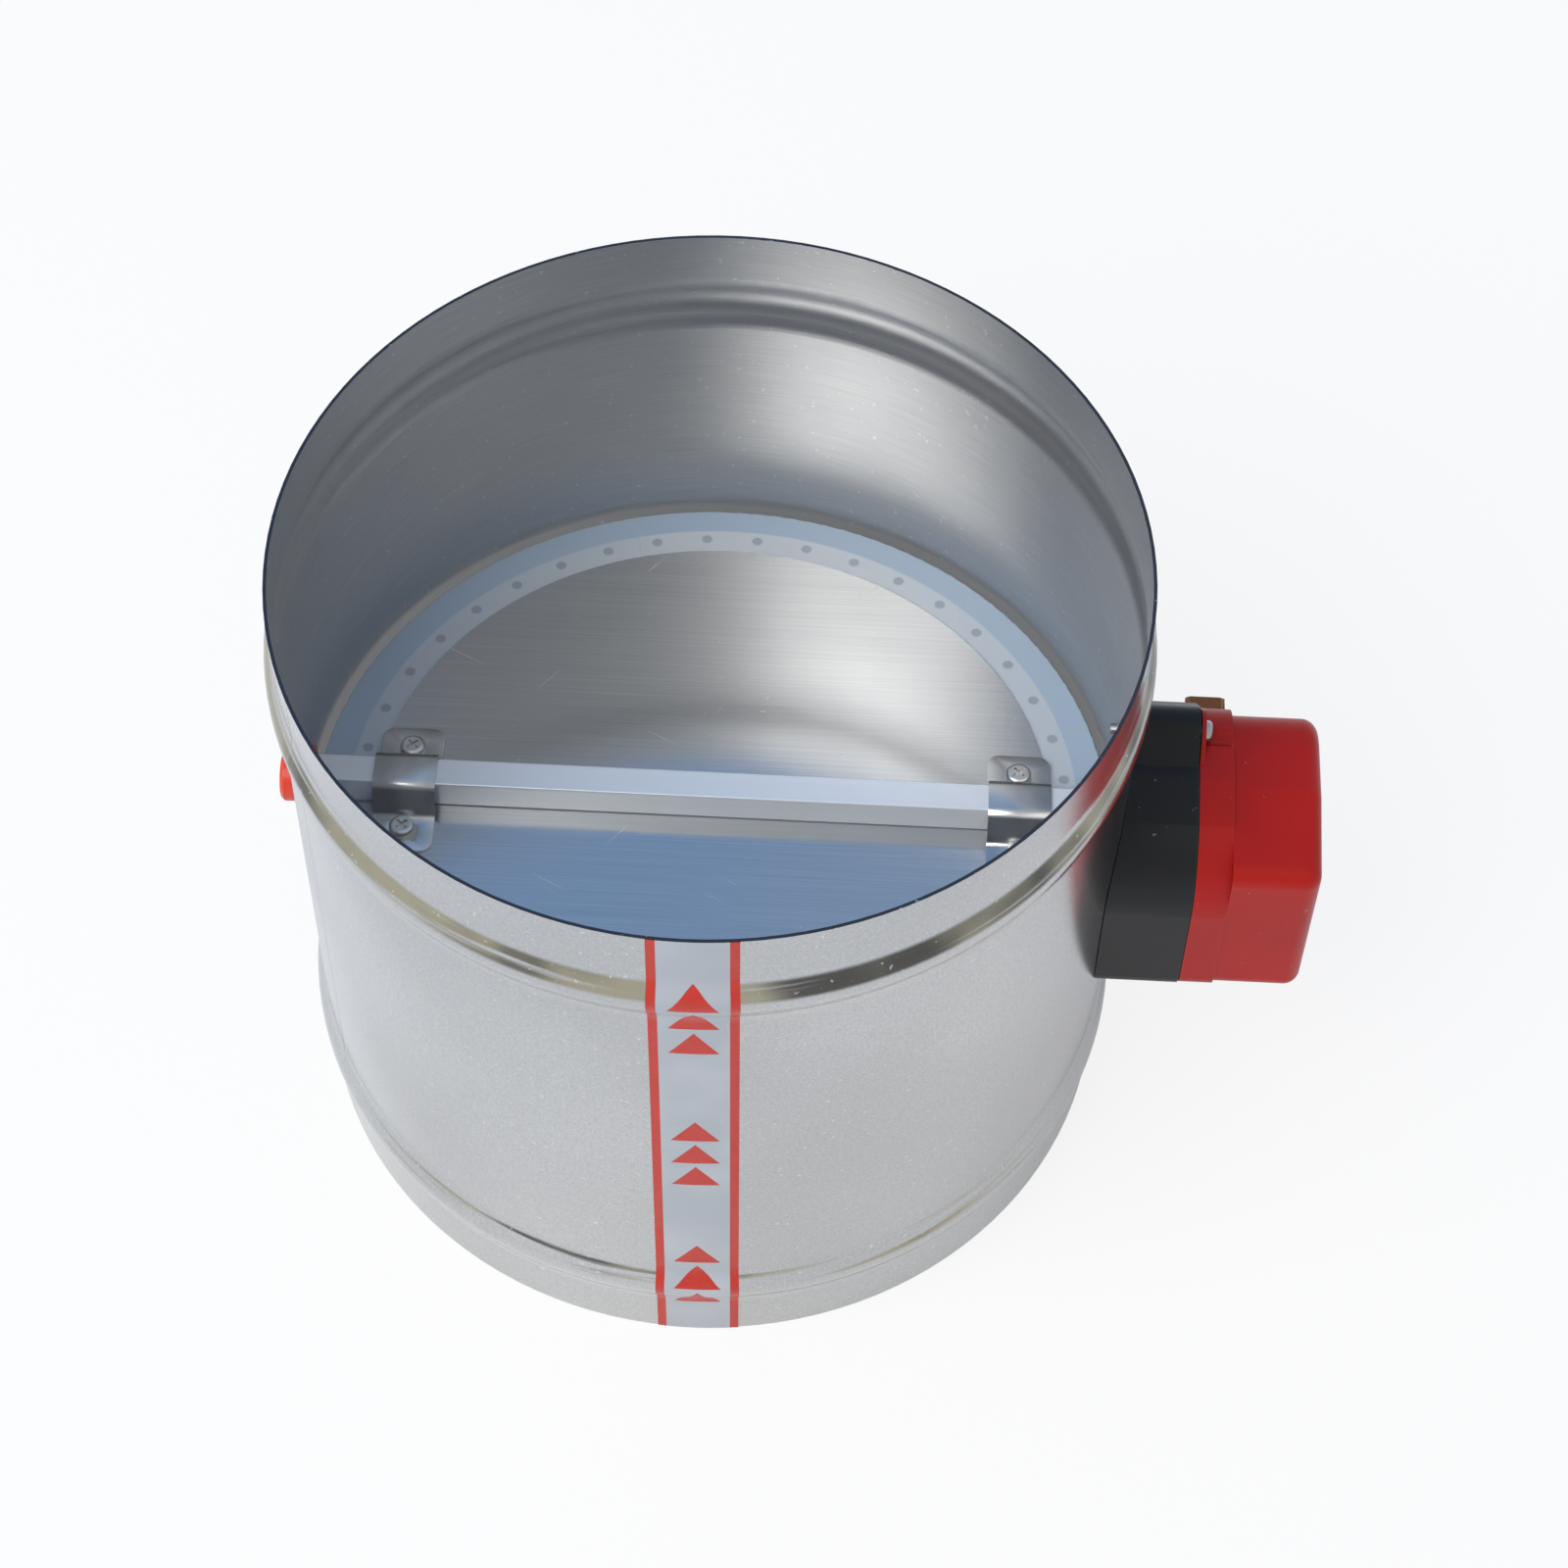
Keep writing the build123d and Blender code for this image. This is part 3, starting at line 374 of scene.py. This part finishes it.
# %% Blade sheet
blade_finish, tree, shader = new_finish("satin_blade", (0.6, 0.6, 0.6), 0.2, 1.0)
grain = place_group(tree, straight_streaks, Across_X=14.0, Across_Y=1600.0, Across_Z=200.0)
mottle = place_group(tree, mottle_group, Fine=700.0, Broad=11.0, Dust=0.79)
first_lines = place_group(tree, scratch_group, Turn=0.5, Amount=0.76)["Lines"]
second_lines = place_group(tree, scratch_group, Turn=-0.9, Amount=0.765)["Lines"]
scratches = maths(tree, "MAXIMUM", first_lines, second_lines)
sheet = blend_colour(tree, grain["Streak"], (0.46, 0.47, 0.48, 1), (0.66, 0.66, 0.655, 1))
marks = maths(tree, "MAXIMUM", scratches, mottle["Specks"])
sheet = blend_colour(tree, maths(tree, "MULTIPLY", marks, 0.7), sheet, (0.95, 0.95, 0.93, 1))
tree.links.new(sheet, shader.inputs["Base Color"])
gloss = maths(tree, "MULTIPLY_ADD", mottle["Smudge"], 0.08, 0.14)
gloss = maths(tree, "ADD", gloss, maths(tree, "MULTIPLY", marks, 0.3))
tree.links.new(gloss, shader.inputs["Roughness"])
height = maths(tree, "MULTIPLY_ADD", grain["Streak"], 0.3, scratches)
bump(tree, shader, height, 0.15, 0.0001)
print("blade finish done")

# %% [markdown]
# The edge seal is milky silicone. It lets some light through. Where it lies over the lower disc it is given a
# painted darker, bluer shade, and the plugs that were moulded through the lower disc are painted as a ring of
# darker dots of shade. Counting round the ring by angle and keeping the remainder repeats one dot as many times as
# there are plugs.

# %% Silicone seal
seal_finish, tree, shader = new_finish(
    "milky_silicone", (0.72, 0.80, 0.87), 0.28, 0.0, Transmission_Weight=0.25, IOR=1.41
)
plug_count = 42
plug_circle = 0.131
place = add_node(tree, "TexCoord").outputs["Object"]
split = add_node(tree, "SeparateXYZ", {"Vector": place})
angle = maths(tree, "ARCTAN2", split.outputs["Y"], split.outputs["X"])
steps = maths(tree, "MULTIPLY", angle, plug_count / (2 * pi))
off_plug = maths(tree, "SUBTRACT", steps, maths(tree, "ROUND", steps))
along = maths(tree, "MULTIPLY", off_plug, 2 * pi / plug_count * plug_circle)
radius = maths(
    tree,
    "SQRT",
    maths(
        tree,
        "ADD",
        maths(tree, "POWER", split.outputs["X"], 2.0),
        maths(tree, "POWER", split.outputs["Y"], 2.0),
    ),
)
out = maths(tree, "SUBTRACT", radius, plug_circle)
spread = maths(
    tree,
    "SQRT",
    maths(tree, "ADD", maths(tree, "POWER", along, 2.0), maths(tree, "POWER", out, 2.0)),
)
# Painted shade: darker dots where the plugs sit in the disc's holes, and a darker, bluer band where the disc lies
# under the seal.
painted_plug_shade = ramp(tree, spread, 0.0024, 0.0016)
painted_disc_shade = ramp(tree, radius, 0.1356, 0.1346)
mottle = place_group(tree, mottle_group, Fine=500.0, Broad=7.0, Dust=0.78)
milky = blend_colour(tree, mottle["Smudge"], (0.66, 0.73, 0.81, 1), (0.76, 0.81, 0.87, 1))
milky = blend_colour(tree, painted_disc_shade, (0.50, 0.62, 0.76, 1), milky)
milky = blend_colour(tree, maths(tree, "MULTIPLY", painted_plug_shade, 0.55), milky, (0.25, 0.30, 0.38, 1))
tree.links.new(milky, shader.inputs["Base Color"])
tree.links.new(maths(tree, "MULTIPLY_ADD", mottle["Smudge"], 0.12, 0.24), shader.inputs["Roughness"])
bump(tree, shader, mottle["Fine"], 0.1, 0.0002)
print("seal with", plug_count, "plugs")

# %% [markdown]
# The bar is square aluminium, delivered with a clear protective film on it. The film is a
# glossy coat with faint lengthwise creases over the drawn metal.

# %% Square bar
bar_finish, tree, shader = new_finish("filmed_bar", (0.78, 0.81, 0.85), 0.3, 0.35, Coat_Weight=0.4)
grain = place_group(tree, straight_streaks, Across_X=9.0, Across_Y=900.0, Across_Z=900.0)
mottle = place_group(tree, mottle_group, Fine=300.0, Broad=6.0, Dust=0.77)
film = blend_colour(tree, grain["Streak"], (0.78, 0.82, 0.88, 1), (0.84, 0.87, 0.90, 1))
film = blend_colour(tree, maths(tree, "MULTIPLY", mottle["Smudge"], 0.5), film, (0.9, 0.92, 0.95, 1))
tree.links.new(film, shader.inputs["Base Color"])
tree.links.new(maths(tree, "MULTIPLY_ADD", grain["Streak"], 0.05, 0.27), shader.inputs["Roughness"])
bump(tree, shader, grain["Streak"], 0.02, 0.00005)
print("bar finish done")


# %% [markdown]
# Zinc screws, bright clamps, brass and steel pins are all plain metals that differ in colour,
# gloss and how worn their edges are, so one maker's recipe covers them.


# %% Small metal parts
def small_metal(name, dark, light, roughness, grain_height=0.15):
    material, tree, shader = new_finish(name, light, roughness, 1.0)
    mottle = place_group(tree, mottle_group, Fine=1500.0, Broad=60.0, Dust=0.74)
    edge = place_group(tree, edge_group, Radius=0.0004)["Edge"]
    colour = blend_colour(tree, mottle["Smudge"], (*dark, 1), (*light, 1))
    colour = blend_colour(tree, maths(tree, "MULTIPLY", edge, 0.5), colour, (0.92, 0.91, 0.88, 1))
    tree.links.new(colour, shader.inputs["Base Color"])
    gloss = maths(tree, "MULTIPLY_ADD", mottle["Smudge"], 0.10, roughness)
    tree.links.new(gloss, shader.inputs["Roughness"])
    bump(tree, shader, mottle["Fine"], grain_height, 0.00015)
    return material


clamp_finish = small_metal("bright_clamp", (0.46, 0.46, 0.45), (0.66, 0.65, 0.63), 0.16)
zinc_finish = small_metal("zinc_plate", (0.50, 0.50, 0.47), (0.72, 0.71, 0.67), 0.26)
brass_finish = small_metal("turned_brass", (0.50, 0.36, 0.14), (0.70, 0.54, 0.26), 0.25)
pin_finish = small_metal("ground_pin", (0.50, 0.50, 0.50), (0.68, 0.68, 0.68), 0.18)
motor_finish = small_metal("motor_can", (0.42, 0.42, 0.43), (0.60, 0.60, 0.60), 0.34)
plate_finish = small_metal("gear_plate_steel", (0.45, 0.45, 0.46), (0.60, 0.60, 0.60), 0.3)
print("metals ready")


# %% [markdown]
# Mouldings have a faint skin texture, edges that catch the light and a film of dust. Gloss and
# colour set one plastic apart from the next.


# %% Moulded plastics
def moulding(name, colour, roughness, worn, skin=0.15, skin_scale=1200.0, specular=0.5):
    material, tree, shader = new_finish(name, colour, roughness, Specular_IOR_Level=specular)
    mottle = place_group(tree, mottle_group, Fine=skin_scale, Broad=22.0, Dust=0.77)
    edge = place_group(tree, edge_group, Radius=0.0008)["Edge"]
    darker = tuple(c * 0.86 for c in colour)
    shade = blend_colour(tree, mottle["Smudge"], (*darker, 1), (*colour, 1))
    shade = blend_colour(tree, maths(tree, "MULTIPLY", edge, 0.5), shade, (*worn, 1))
    shade = blend_colour(tree, maths(tree, "MULTIPLY", mottle["Specks"], 0.25), shade, (0.6, 0.58, 0.55, 1))
    tree.links.new(shade, shader.inputs["Base Color"])
    gloss = maths(tree, "MULTIPLY_ADD", mottle["Smudge"], 0.08, roughness)
    tree.links.new(gloss, shader.inputs["Roughness"])
    bump(tree, shader, mottle["Fine"], skin, 0.0002)
    return material


base_finish = moulding(
    "satin_black_housing", (0.010, 0.010, 0.011), 0.30, (0.04, 0.04, 0.04), 0.25, 1200.0, 0.32
)
cover_finish = moulding(
    "glossy_red_housing", (0.50, 0.008, 0.004), 0.27, (0.62, 0.03, 0.02), 0.06, 900.0, 0.28
)
bush_finish = moulding("red_bush", (0.72, 0.045, 0.015), 0.28, (0.85, 0.15, 0.08), 0.1)
gland_finish = moulding("amber_gland", (0.34, 0.115, 0.012), 0.30, (0.50, 0.25, 0.06), 0.12)
gasket_finish = moulding("gasket_rubber", (0.015, 0.015, 0.015), 0.6, (0.03, 0.03, 0.03), 0.3)
gear_finish = moulding("gear_acetal", (0.72, 0.71, 0.66), 0.38, (0.85, 0.84, 0.8), 0.12)
cam_finish = moulding("cam_blue", (0.05, 0.13, 0.45), 0.4, (0.15, 0.25, 0.6), 0.12)
switch_finish = moulding("switch_black", (0.015, 0.015, 0.018), 0.42, (0.05, 0.05, 0.05), 0.2)
board_finish = moulding("green_board", (0.01, 0.10, 0.03), 0.3, (0.10, 0.25, 0.10), 0.1)
component_finish = moulding("component_epoxy", (0.02, 0.02, 0.025), 0.45, (0.05, 0.05, 0.05), 0.2)
terminal_finish = moulding("terminal_green", (0.02, 0.22, 0.07), 0.35, (0.1, 0.35, 0.15), 0.1)
print("plastics ready")

# %% [markdown]
# The airflow tape is printed: a red line down each edge and groups of three arrowheads that
# point downstream. The pattern follows the wall, so it is drawn from the arc along the wall
# and the height, in millimetres. The height is wrapped twice, once for the group and once for
# the arrowhead, and each arrowhead narrows from its base to its tip.

# %% Printed airflow tape
wall_radius_mm = 150.0
tape_turn = radians(1.2)
line_from, line_to = 11.65, 11.95
group_pitch, first_group, group_height = 90.0, 111.6, 46.95
arrow_pitch, arrow_height, arrow_half_width = 15.65, 13.2, 8.5
tape_finish, tree, shader = new_finish("printed_tape", (0.5, 0.53, 0.56), 0.35, 0.0, Specular_IOR_Level=0.35)
place = add_node(tree, "TexCoord").outputs["Object"]
split = add_node(tree, "SeparateXYZ", {"Vector": place})
back_from_front = maths(tree, "MULTIPLY", split.outputs["Y"], -1.0)
bearing = maths(tree, "ARCTAN2", split.outputs["X"], back_from_front)
arc = maths(tree, "MULTIPLY", bearing, wall_radius_mm)
arc = maths(tree, "SUBTRACT", arc, wall_radius_mm * tape_turn)
mm = maths(tree, "MULTIPLY", split.outputs["Z"], 1000.0)
off_middle = maths(tree, "ABSOLUTE", arc)
lines = ramp(tree, off_middle, line_from, line_to)
past_first = maths(tree, "ADD", mm, 2 * group_pitch - first_group)
in_group = maths(tree, "MODULO", past_first, group_pitch)
in_arrow = maths(tree, "MODULO", in_group, arrow_pitch)
slope = -arrow_half_width / arrow_height
shrink = maths(tree, "MULTIPLY_ADD", in_arrow, slope, arrow_half_width)
arrow = ramp(tree, maths(tree, "SUBTRACT", off_middle, shrink), 0.12, -0.12)
arrow = maths(tree, "MULTIPLY", arrow, maths(tree, "LESS_THAN", in_arrow, arrow_height))
arrow = maths(tree, "MULTIPLY", arrow, maths(tree, "LESS_THAN", in_group, group_height))
red = maths(tree, "MAXIMUM", lines, arrow)
mottle = place_group(tree, mottle_group, Fine=260.0, Broad=30.0, Dust=0.72)
paper = blend_colour(tree, mottle["Smudge"], (0.43, 0.46, 0.50, 1), (0.52, 0.54, 0.58, 1))
ink = blend_colour(tree, mottle["Fine"], (0.50, 0.022, 0.010, 1), (0.60, 0.035, 0.016, 1))
tree.links.new(blend_colour(tree, red, paper, ink), shader.inputs["Base Color"])
tree.links.new(maths(tree, "MULTIPLY_ADD", mottle["Smudge"], 0.15, 0.25), shader.inputs["Roughness"])
bump(tree, shader, mottle["Fine"], 0.12, 0.0002)
print("tape finish done")

# %% [markdown]
# Each CAD node keeps its own shape and only gets the finish that its slot names.

# %% Dress the nodes
finish_of_slot = {
    "stainless_polished": casing_finish,
    "stainless_satin": blade_finish,
    "clamp_steel": clamp_finish,
    "bar_aluminium": bar_finish,
    "zinc": zinc_finish,
    "tape": tape_finish,
    "silicone": seal_finish,
    "bush_plastic": bush_finish,
    "housing_black": base_finish,
    "housing_red": cover_finish,
    "gasket_rubber": gasket_finish,
    "gear_plastic": gear_finish,
    "gear_brass": brass_finish,
    "pin_steel": pin_finish,
    "motor_can": motor_finish,
    "cam_plastic": cam_finish,
    "switch_plastic": switch_finish,
    "board": board_finish,
    "components": component_finish,
    "terminal_plastic": terminal_finish,
    "gland_plastic": gland_finish,
}
for part in frame["record"]["subparts"]:
    node = frame["nodes"][part["node"]]
    finish = finish_of_slot[part["material_slot"]]
    node.data.materials.clear()
    node.data.materials.append(finish)
frame["nodes"]["gear_plate"].data.materials[0] = plate_finish

# %% [markdown]
# Each saddle clamp is a strip of steel pressed over the bar: two rounded shoulders and two
# flat feet with rounded corners. The press leaves generous bends that catch a bright line of
# light, so the strip is extruded edge by edge along its profile, its bends and corners are
# bevelled, and Solidify gives the sheet its thickness.

# %% Strip along the clamp's profile
blade_tilt = radians(3.35)
shaft_height = frame["joints"][0]["pos_m"][2]
clamp_box = [Vector(corner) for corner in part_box("saddle_clamp_right")]
clamp_x = (clamp_box[0].x + clamp_box[1].x) / 2
clamp_width = clamp_box[1].x - clamp_box[0].x
profile = [(-28.5, -6.0), (-12.8, -6.0), (-6.8, 6.1), (6.8, 6.1), (12.8, -6.0), (28.5, -6.0)]
profile = [(y / 1000, z / 1000) for y, z in profile]
bpy.ops.object.select_all(action="DESELECT")
bpy.ops.mesh.primitive_plane_add(size=1.0, location=(0, 0, 0))
clamp = bpy.context.object
clamp.name = "clamp_strap_right"
first, second = profile[0], profile[1]
clamp.scale = (clamp_width, second[0] - first[0], 1.0)
clamp.location = (0, (first[0] + second[0]) / 2, first[1])
bpy.ops.object.transform_apply(location=True, rotation=True, scale=True)
print("clamp at x", round(clamp_x * 1000, 1), "width", round(clamp_width * 1000, 1))


# %% Select faces and edges by a rule
def pick(piece, kind, rule):
    """In edit mode, selects the vertices, edges or faces for which the rule is true."""
    shape = bmesh.from_edit_mesh(piece.data)
    modes = (kind == "verts", kind == "edges", kind == "faces")
    bpy.context.tool_settings.mesh_select_mode = modes
    for one in list(shape.verts) + list(shape.edges) + list(shape.faces):
        one.select_set(False)
    chosen = [one for one in getattr(shape, kind) if rule(one)]
    for one in chosen:
        one.select_set(True)
    shape.select_flush_mode()
    bmesh.update_edit_mesh(piece.data)
    return len(chosen)


# %% Extrude, bend and round the strip
bend_size = 0.0022
corner_size = 0.0045
bpy.ops.object.mode_set(mode="EDIT")
for here, there in zip(profile[1:], profile[2:]):
    pick(
        clamp,
        "edges",
        lambda e: all((v.co - Vector((v.co.x, *here))).length < 1e-5 for v in e.verts),
    )
    step = (0, there[0] - here[0], there[1] - here[1])
    bpy.ops.mesh.extrude_region_move(TRANSFORM_OT_translate={"value": step})
bends = pick(
    clamp,
    "edges",
    lambda e: len(e.link_faces) == 2 and abs(e.verts[0].co.y - e.verts[1].co.y) < 1e-6,
)
bpy.ops.mesh.bevel(offset=bend_size, segments=6, profile=0.5)
reach = profile[-1][0]
corners = pick(clamp, "verts", lambda v: abs(abs(v.co.y) - reach) < 1e-5)
bpy.ops.mesh.bevel(offset=corner_size, segments=6, profile=0.5, affect="VERTICES")
bpy.ops.mesh.select_all(action="SELECT")
bpy.ops.mesh.normals_make_consistent(inside=False)
bpy.ops.object.mode_set(mode="OBJECT")
upward = sum(f.normal.z for f in clamp.data.polygons)
print("bends", bends, "corners", corners, "faces up" if upward > 0 else "faces down")

# %% Give the sheet its thickness, holes and soft edges
strip_thickness = 0.001
hole_radius = 0.00265
hole_from_middle = 0.0187
thick = clamp.modifiers.new("sheet", "SOLIDIFY")
thick.thickness = strip_thickness
thick.offset = 1.0 if upward > 0 else -1.0
bpy.context.view_layer.objects.active = clamp
bpy.ops.object.modifier_apply(modifier=thick.name)
for side in (-1, 1):
    bpy.ops.mesh.primitive_cylinder_add(
        vertices=32, radius=hole_radius, depth=0.006, location=(0, side * hole_from_middle, -0.0055)
    )
    drill = bpy.context.object
    cut = clamp.modifiers.new("hole", "BOOLEAN")
    cut.operation = "DIFFERENCE"
    cut.solver = "EXACT"
    cut.object = drill
    bpy.context.view_layer.objects.active = clamp
    bpy.ops.object.modifier_apply(modifier=cut.name)
    bpy.data.objects.remove(drill)
soft = clamp.modifiers.new("soft_edges", "BEVEL")
soft.width = 0.00015
soft.segments = 2
soft.limit_method = "ANGLE"
soft.angle_limit = radians(50)
bpy.ops.object.modifier_apply(modifier=soft.name)
print("strap faces", len(clamp.data.polygons))

# %% Place both clamps on the blade
bpy.ops.object.select_all(action="DESELECT")
clamp.select_set(True)
bpy.ops.object.shade_smooth_by_angle(angle=radians(30))
clamp.data.materials.append(clamp_finish)
other = clamp.copy()
other.data = clamp.data.copy()
other.name = "clamp_strap_left"
bpy.context.collection.objects.link(other)
for strap, side, node in ((clamp, 1, "saddle_clamp_right"), (other, -1, "saddle_clamp_left")):
    bpy.ops.object.select_all(action="DESELECT")
    strap.select_set(True)
    bpy.context.view_layer.objects.active = strap
    strap.rotation_euler = (-blade_tilt, 0, 0)
    strap.location = (side * clamp_x, 0, shaft_height)
    bpy.ops.object.transform_apply(location=True, rotation=True, scale=True)
    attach(strap, "blade")
    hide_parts(node)

# %% [markdown]
# The gland's cap nut is a squarish moulding that fingers can grip, with shallow panels in its
# four sides and a round mouth for the cable. It could be turned from a cylinder, but a cube
# with bevelled long edges and inset panels is nearer to the moulding. The mouth is cut with a
# Boolean, because a clean round hole in a flat end is what that modifier does best.

# %% Gland cap nut
nut_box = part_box("gland_nut")
nut_middle = (Vector(nut_box[0]) + Vector(nut_box[1])) / 2
nut_across = 0.0152
nut_extra_length = 0.0016
nut_length = nut_box[1][1] - nut_box[0][1] + nut_extra_length
nut_size = Vector((nut_across, nut_length, nut_across))
nut_middle.y += nut_extra_length / 2
bpy.ops.object.select_all(action="DESELECT")
bpy.ops.mesh.primitive_cube_add(size=1.0, location=nut_middle)
gland_cap = bpy.context.object
gland_cap.name = "gland_cap_nut"
gland_cap.scale = nut_size
bpy.ops.object.transform_apply(location=True, rotation=True, scale=True)
print("nut", [round(c * 1000, 1) for c in nut_size], "mm")


# %% Shape the cap nut
bpy.ops.object.mode_set(mode="EDIT")
long_edges = pick(gland_cap, "edges", lambda e: abs((e.verts[0].co - e.verts[1].co).y) > 0.01)
bpy.ops.mesh.bevel(offset=0.0027, segments=5, profile=0.5)
sides = pick(gland_cap, "faces", lambda f: abs(f.normal.y) < 0.1 and f.calc_area() > 0.0001)
bpy.ops.mesh.inset(thickness=0.0013, depth=-0.0005, use_individual=True)
far_end = max(v.co.y for v in bmesh.from_edit_mesh(gland_cap.data).verts)
pick(gland_cap, "edges", lambda e: all(abs(v.co.y - far_end) < 1e-5 for v in e.verts))
bpy.ops.mesh.bevel(offset=0.0011, segments=3, profile=0.5)
bpy.ops.object.mode_set(mode="OBJECT")
print("bevelled", long_edges, "edges, panels in", sides, "sides")

# %% Cut the mouth and seat for the neck
bpy.ops.object.select_all(action="DESELECT")
cutters = []
for radius, start, end in ((0.0062, 0.030, 0.0478), (0.0035, 0.046, 0.070)):
    bpy.ops.mesh.primitive_cylinder_add(
        vertices=48,
        radius=radius,
        depth=end - start,
        location=(nut_middle.x, (start + end) / 2, nut_middle.z),
        rotation=(radians(90), 0, 0),
    )
    cutters.append(bpy.context.object)
for cutter in cutters:
    cut = gland_cap.modifiers.new("mouth", "BOOLEAN")
    cut.operation = "DIFFERENCE"
    cut.solver = "EXACT"
    cut.object = cutter
    bpy.context.view_layer.objects.active = gland_cap
    bpy.ops.object.modifier_apply(modifier=cut.name)
    bpy.data.objects.remove(cutter)
bpy.ops.object.select_all(action="DESELECT")
gland_cap.select_set(True)
bpy.context.view_layer.objects.active = gland_cap
bpy.ops.object.shade_smooth_by_angle(angle=radians(35))
gland_cap.data.materials.append(gland_finish)
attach(gland_cap, "casing")
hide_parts("gland_nut")
print("cap nut faces", len(gland_cap.data.polygons))

# %% [markdown]
# The damper stands on a wide pale floor. The floor is a diffuse surface that is also given a
# little light of its own towards the camera and in reflections, so it reads as white paper
# and still keeps a soft shadow.

# %% Floor
bpy.ops.object.select_all(action="DESELECT")
bpy.ops.mesh.primitive_circle_add(vertices=96, radius=12.0, fill_type="NGON", location=(0, 0, -0.0005))
floor = bpy.context.object
floor.name = "floor"
floor_finish = bpy.data.materials.new("pale_floor")
floor_finish.use_nodes = True
tree = floor_finish.node_tree
shader = tree.nodes["Principled BSDF"]
shader.inputs["Base Color"].default_value = (0.9, 0.9, 0.9, 1)
shader.inputs["Roughness"].default_value = 0.9
shader.inputs["Specular IOR Level"].default_value = 0.0
glow = add_node(tree, "Emission", {"Color": (1, 1, 1, 1), "Strength": 1.0})
path = add_node(tree, "LightPath")
mirrored = maths(tree, "MAXIMUM", path.outputs["Is Glossy Ray"], path.outputs["Is Transmission Ray"])
seen = maths(tree, "MULTIPLY", path.outputs["Is Camera Ray"], 0.84)
seen = maths(tree, "MAXIMUM", seen, maths(tree, "MULTIPLY", mirrored, 0.3))
mixed = add_node(tree, "MixShader", {0: seen})
tree.links.new(shader.outputs[0], mixed.inputs[1])
tree.links.new(glow.outputs[0], mixed.inputs[2])
tree.links.new(mixed.outputs[0], tree.nodes["Material Output"].inputs["Surface"])
floor.data.materials.append(floor_finish)
print("floor laid")

# %% [markdown]
# The surroundings are a soft dome: pale near the horizon and light blue overhead towards the
# back, which the level blade mirrors. One soft lamp from the front left is the key light.

# %% Surroundings and lamp
dome_strength = 0.72
key_power = 44.0
key_distance = 2.6
object_middle = Vector((0, 0, 0.14))
world = bpy.data.worlds.new("studio")
bpy.context.scene.world = world
world.use_nodes = True
tree = world.node_tree
backdrop = tree.nodes["Background"]
direction = add_node(tree, "TexCoord").outputs["Generated"]
split = add_node(tree, "SeparateXYZ", {"Vector": direction})
rise = ramp(tree, split.outputs["Z"], 0.08, 0.55)
behind = ramp(tree, split.outputs["Y"], -0.25, 0.30)
overhead = blend_colour(tree, behind, (0.66, 0.69, 0.74, 1), (0.36, 0.58, 0.95, 1))
to_the_right = maths(tree, "MULTIPLY", ramp(tree, split.outputs["X"], -0.12, 0.30), 0.65)
overhead = blend_colour(tree, to_the_right, overhead, (0.80, 0.84, 0.88, 1))
dome = blend_colour(tree, rise, (0.86, 0.86, 0.85, 1), overhead)
tree.links.new(dome, backdrop.inputs["Color"])
backdrop.inputs["Strength"].default_value = dome_strength
lamp_data = bpy.data.lights.new("key_lamp", "AREA")
lamp_data.shape = "DISK"
lamp_data.size = 2.0
lamp_data.energy = key_power
lamp_data.color = (1.0, 0.98, 0.94)
lamp = bpy.data.objects.new("key_lamp", lamp_data)
bpy.context.collection.objects.link(lamp)
key_direction = Vector((-0.459, -0.432, 0.776)).normalized()
lamp.location = object_middle + key_direction * key_distance
lamp.rotation_euler = key_direction.to_track_quat("Z", "Y").to_euler()
print("lamp at", tuple(round(c, 2) for c in lamp.location))
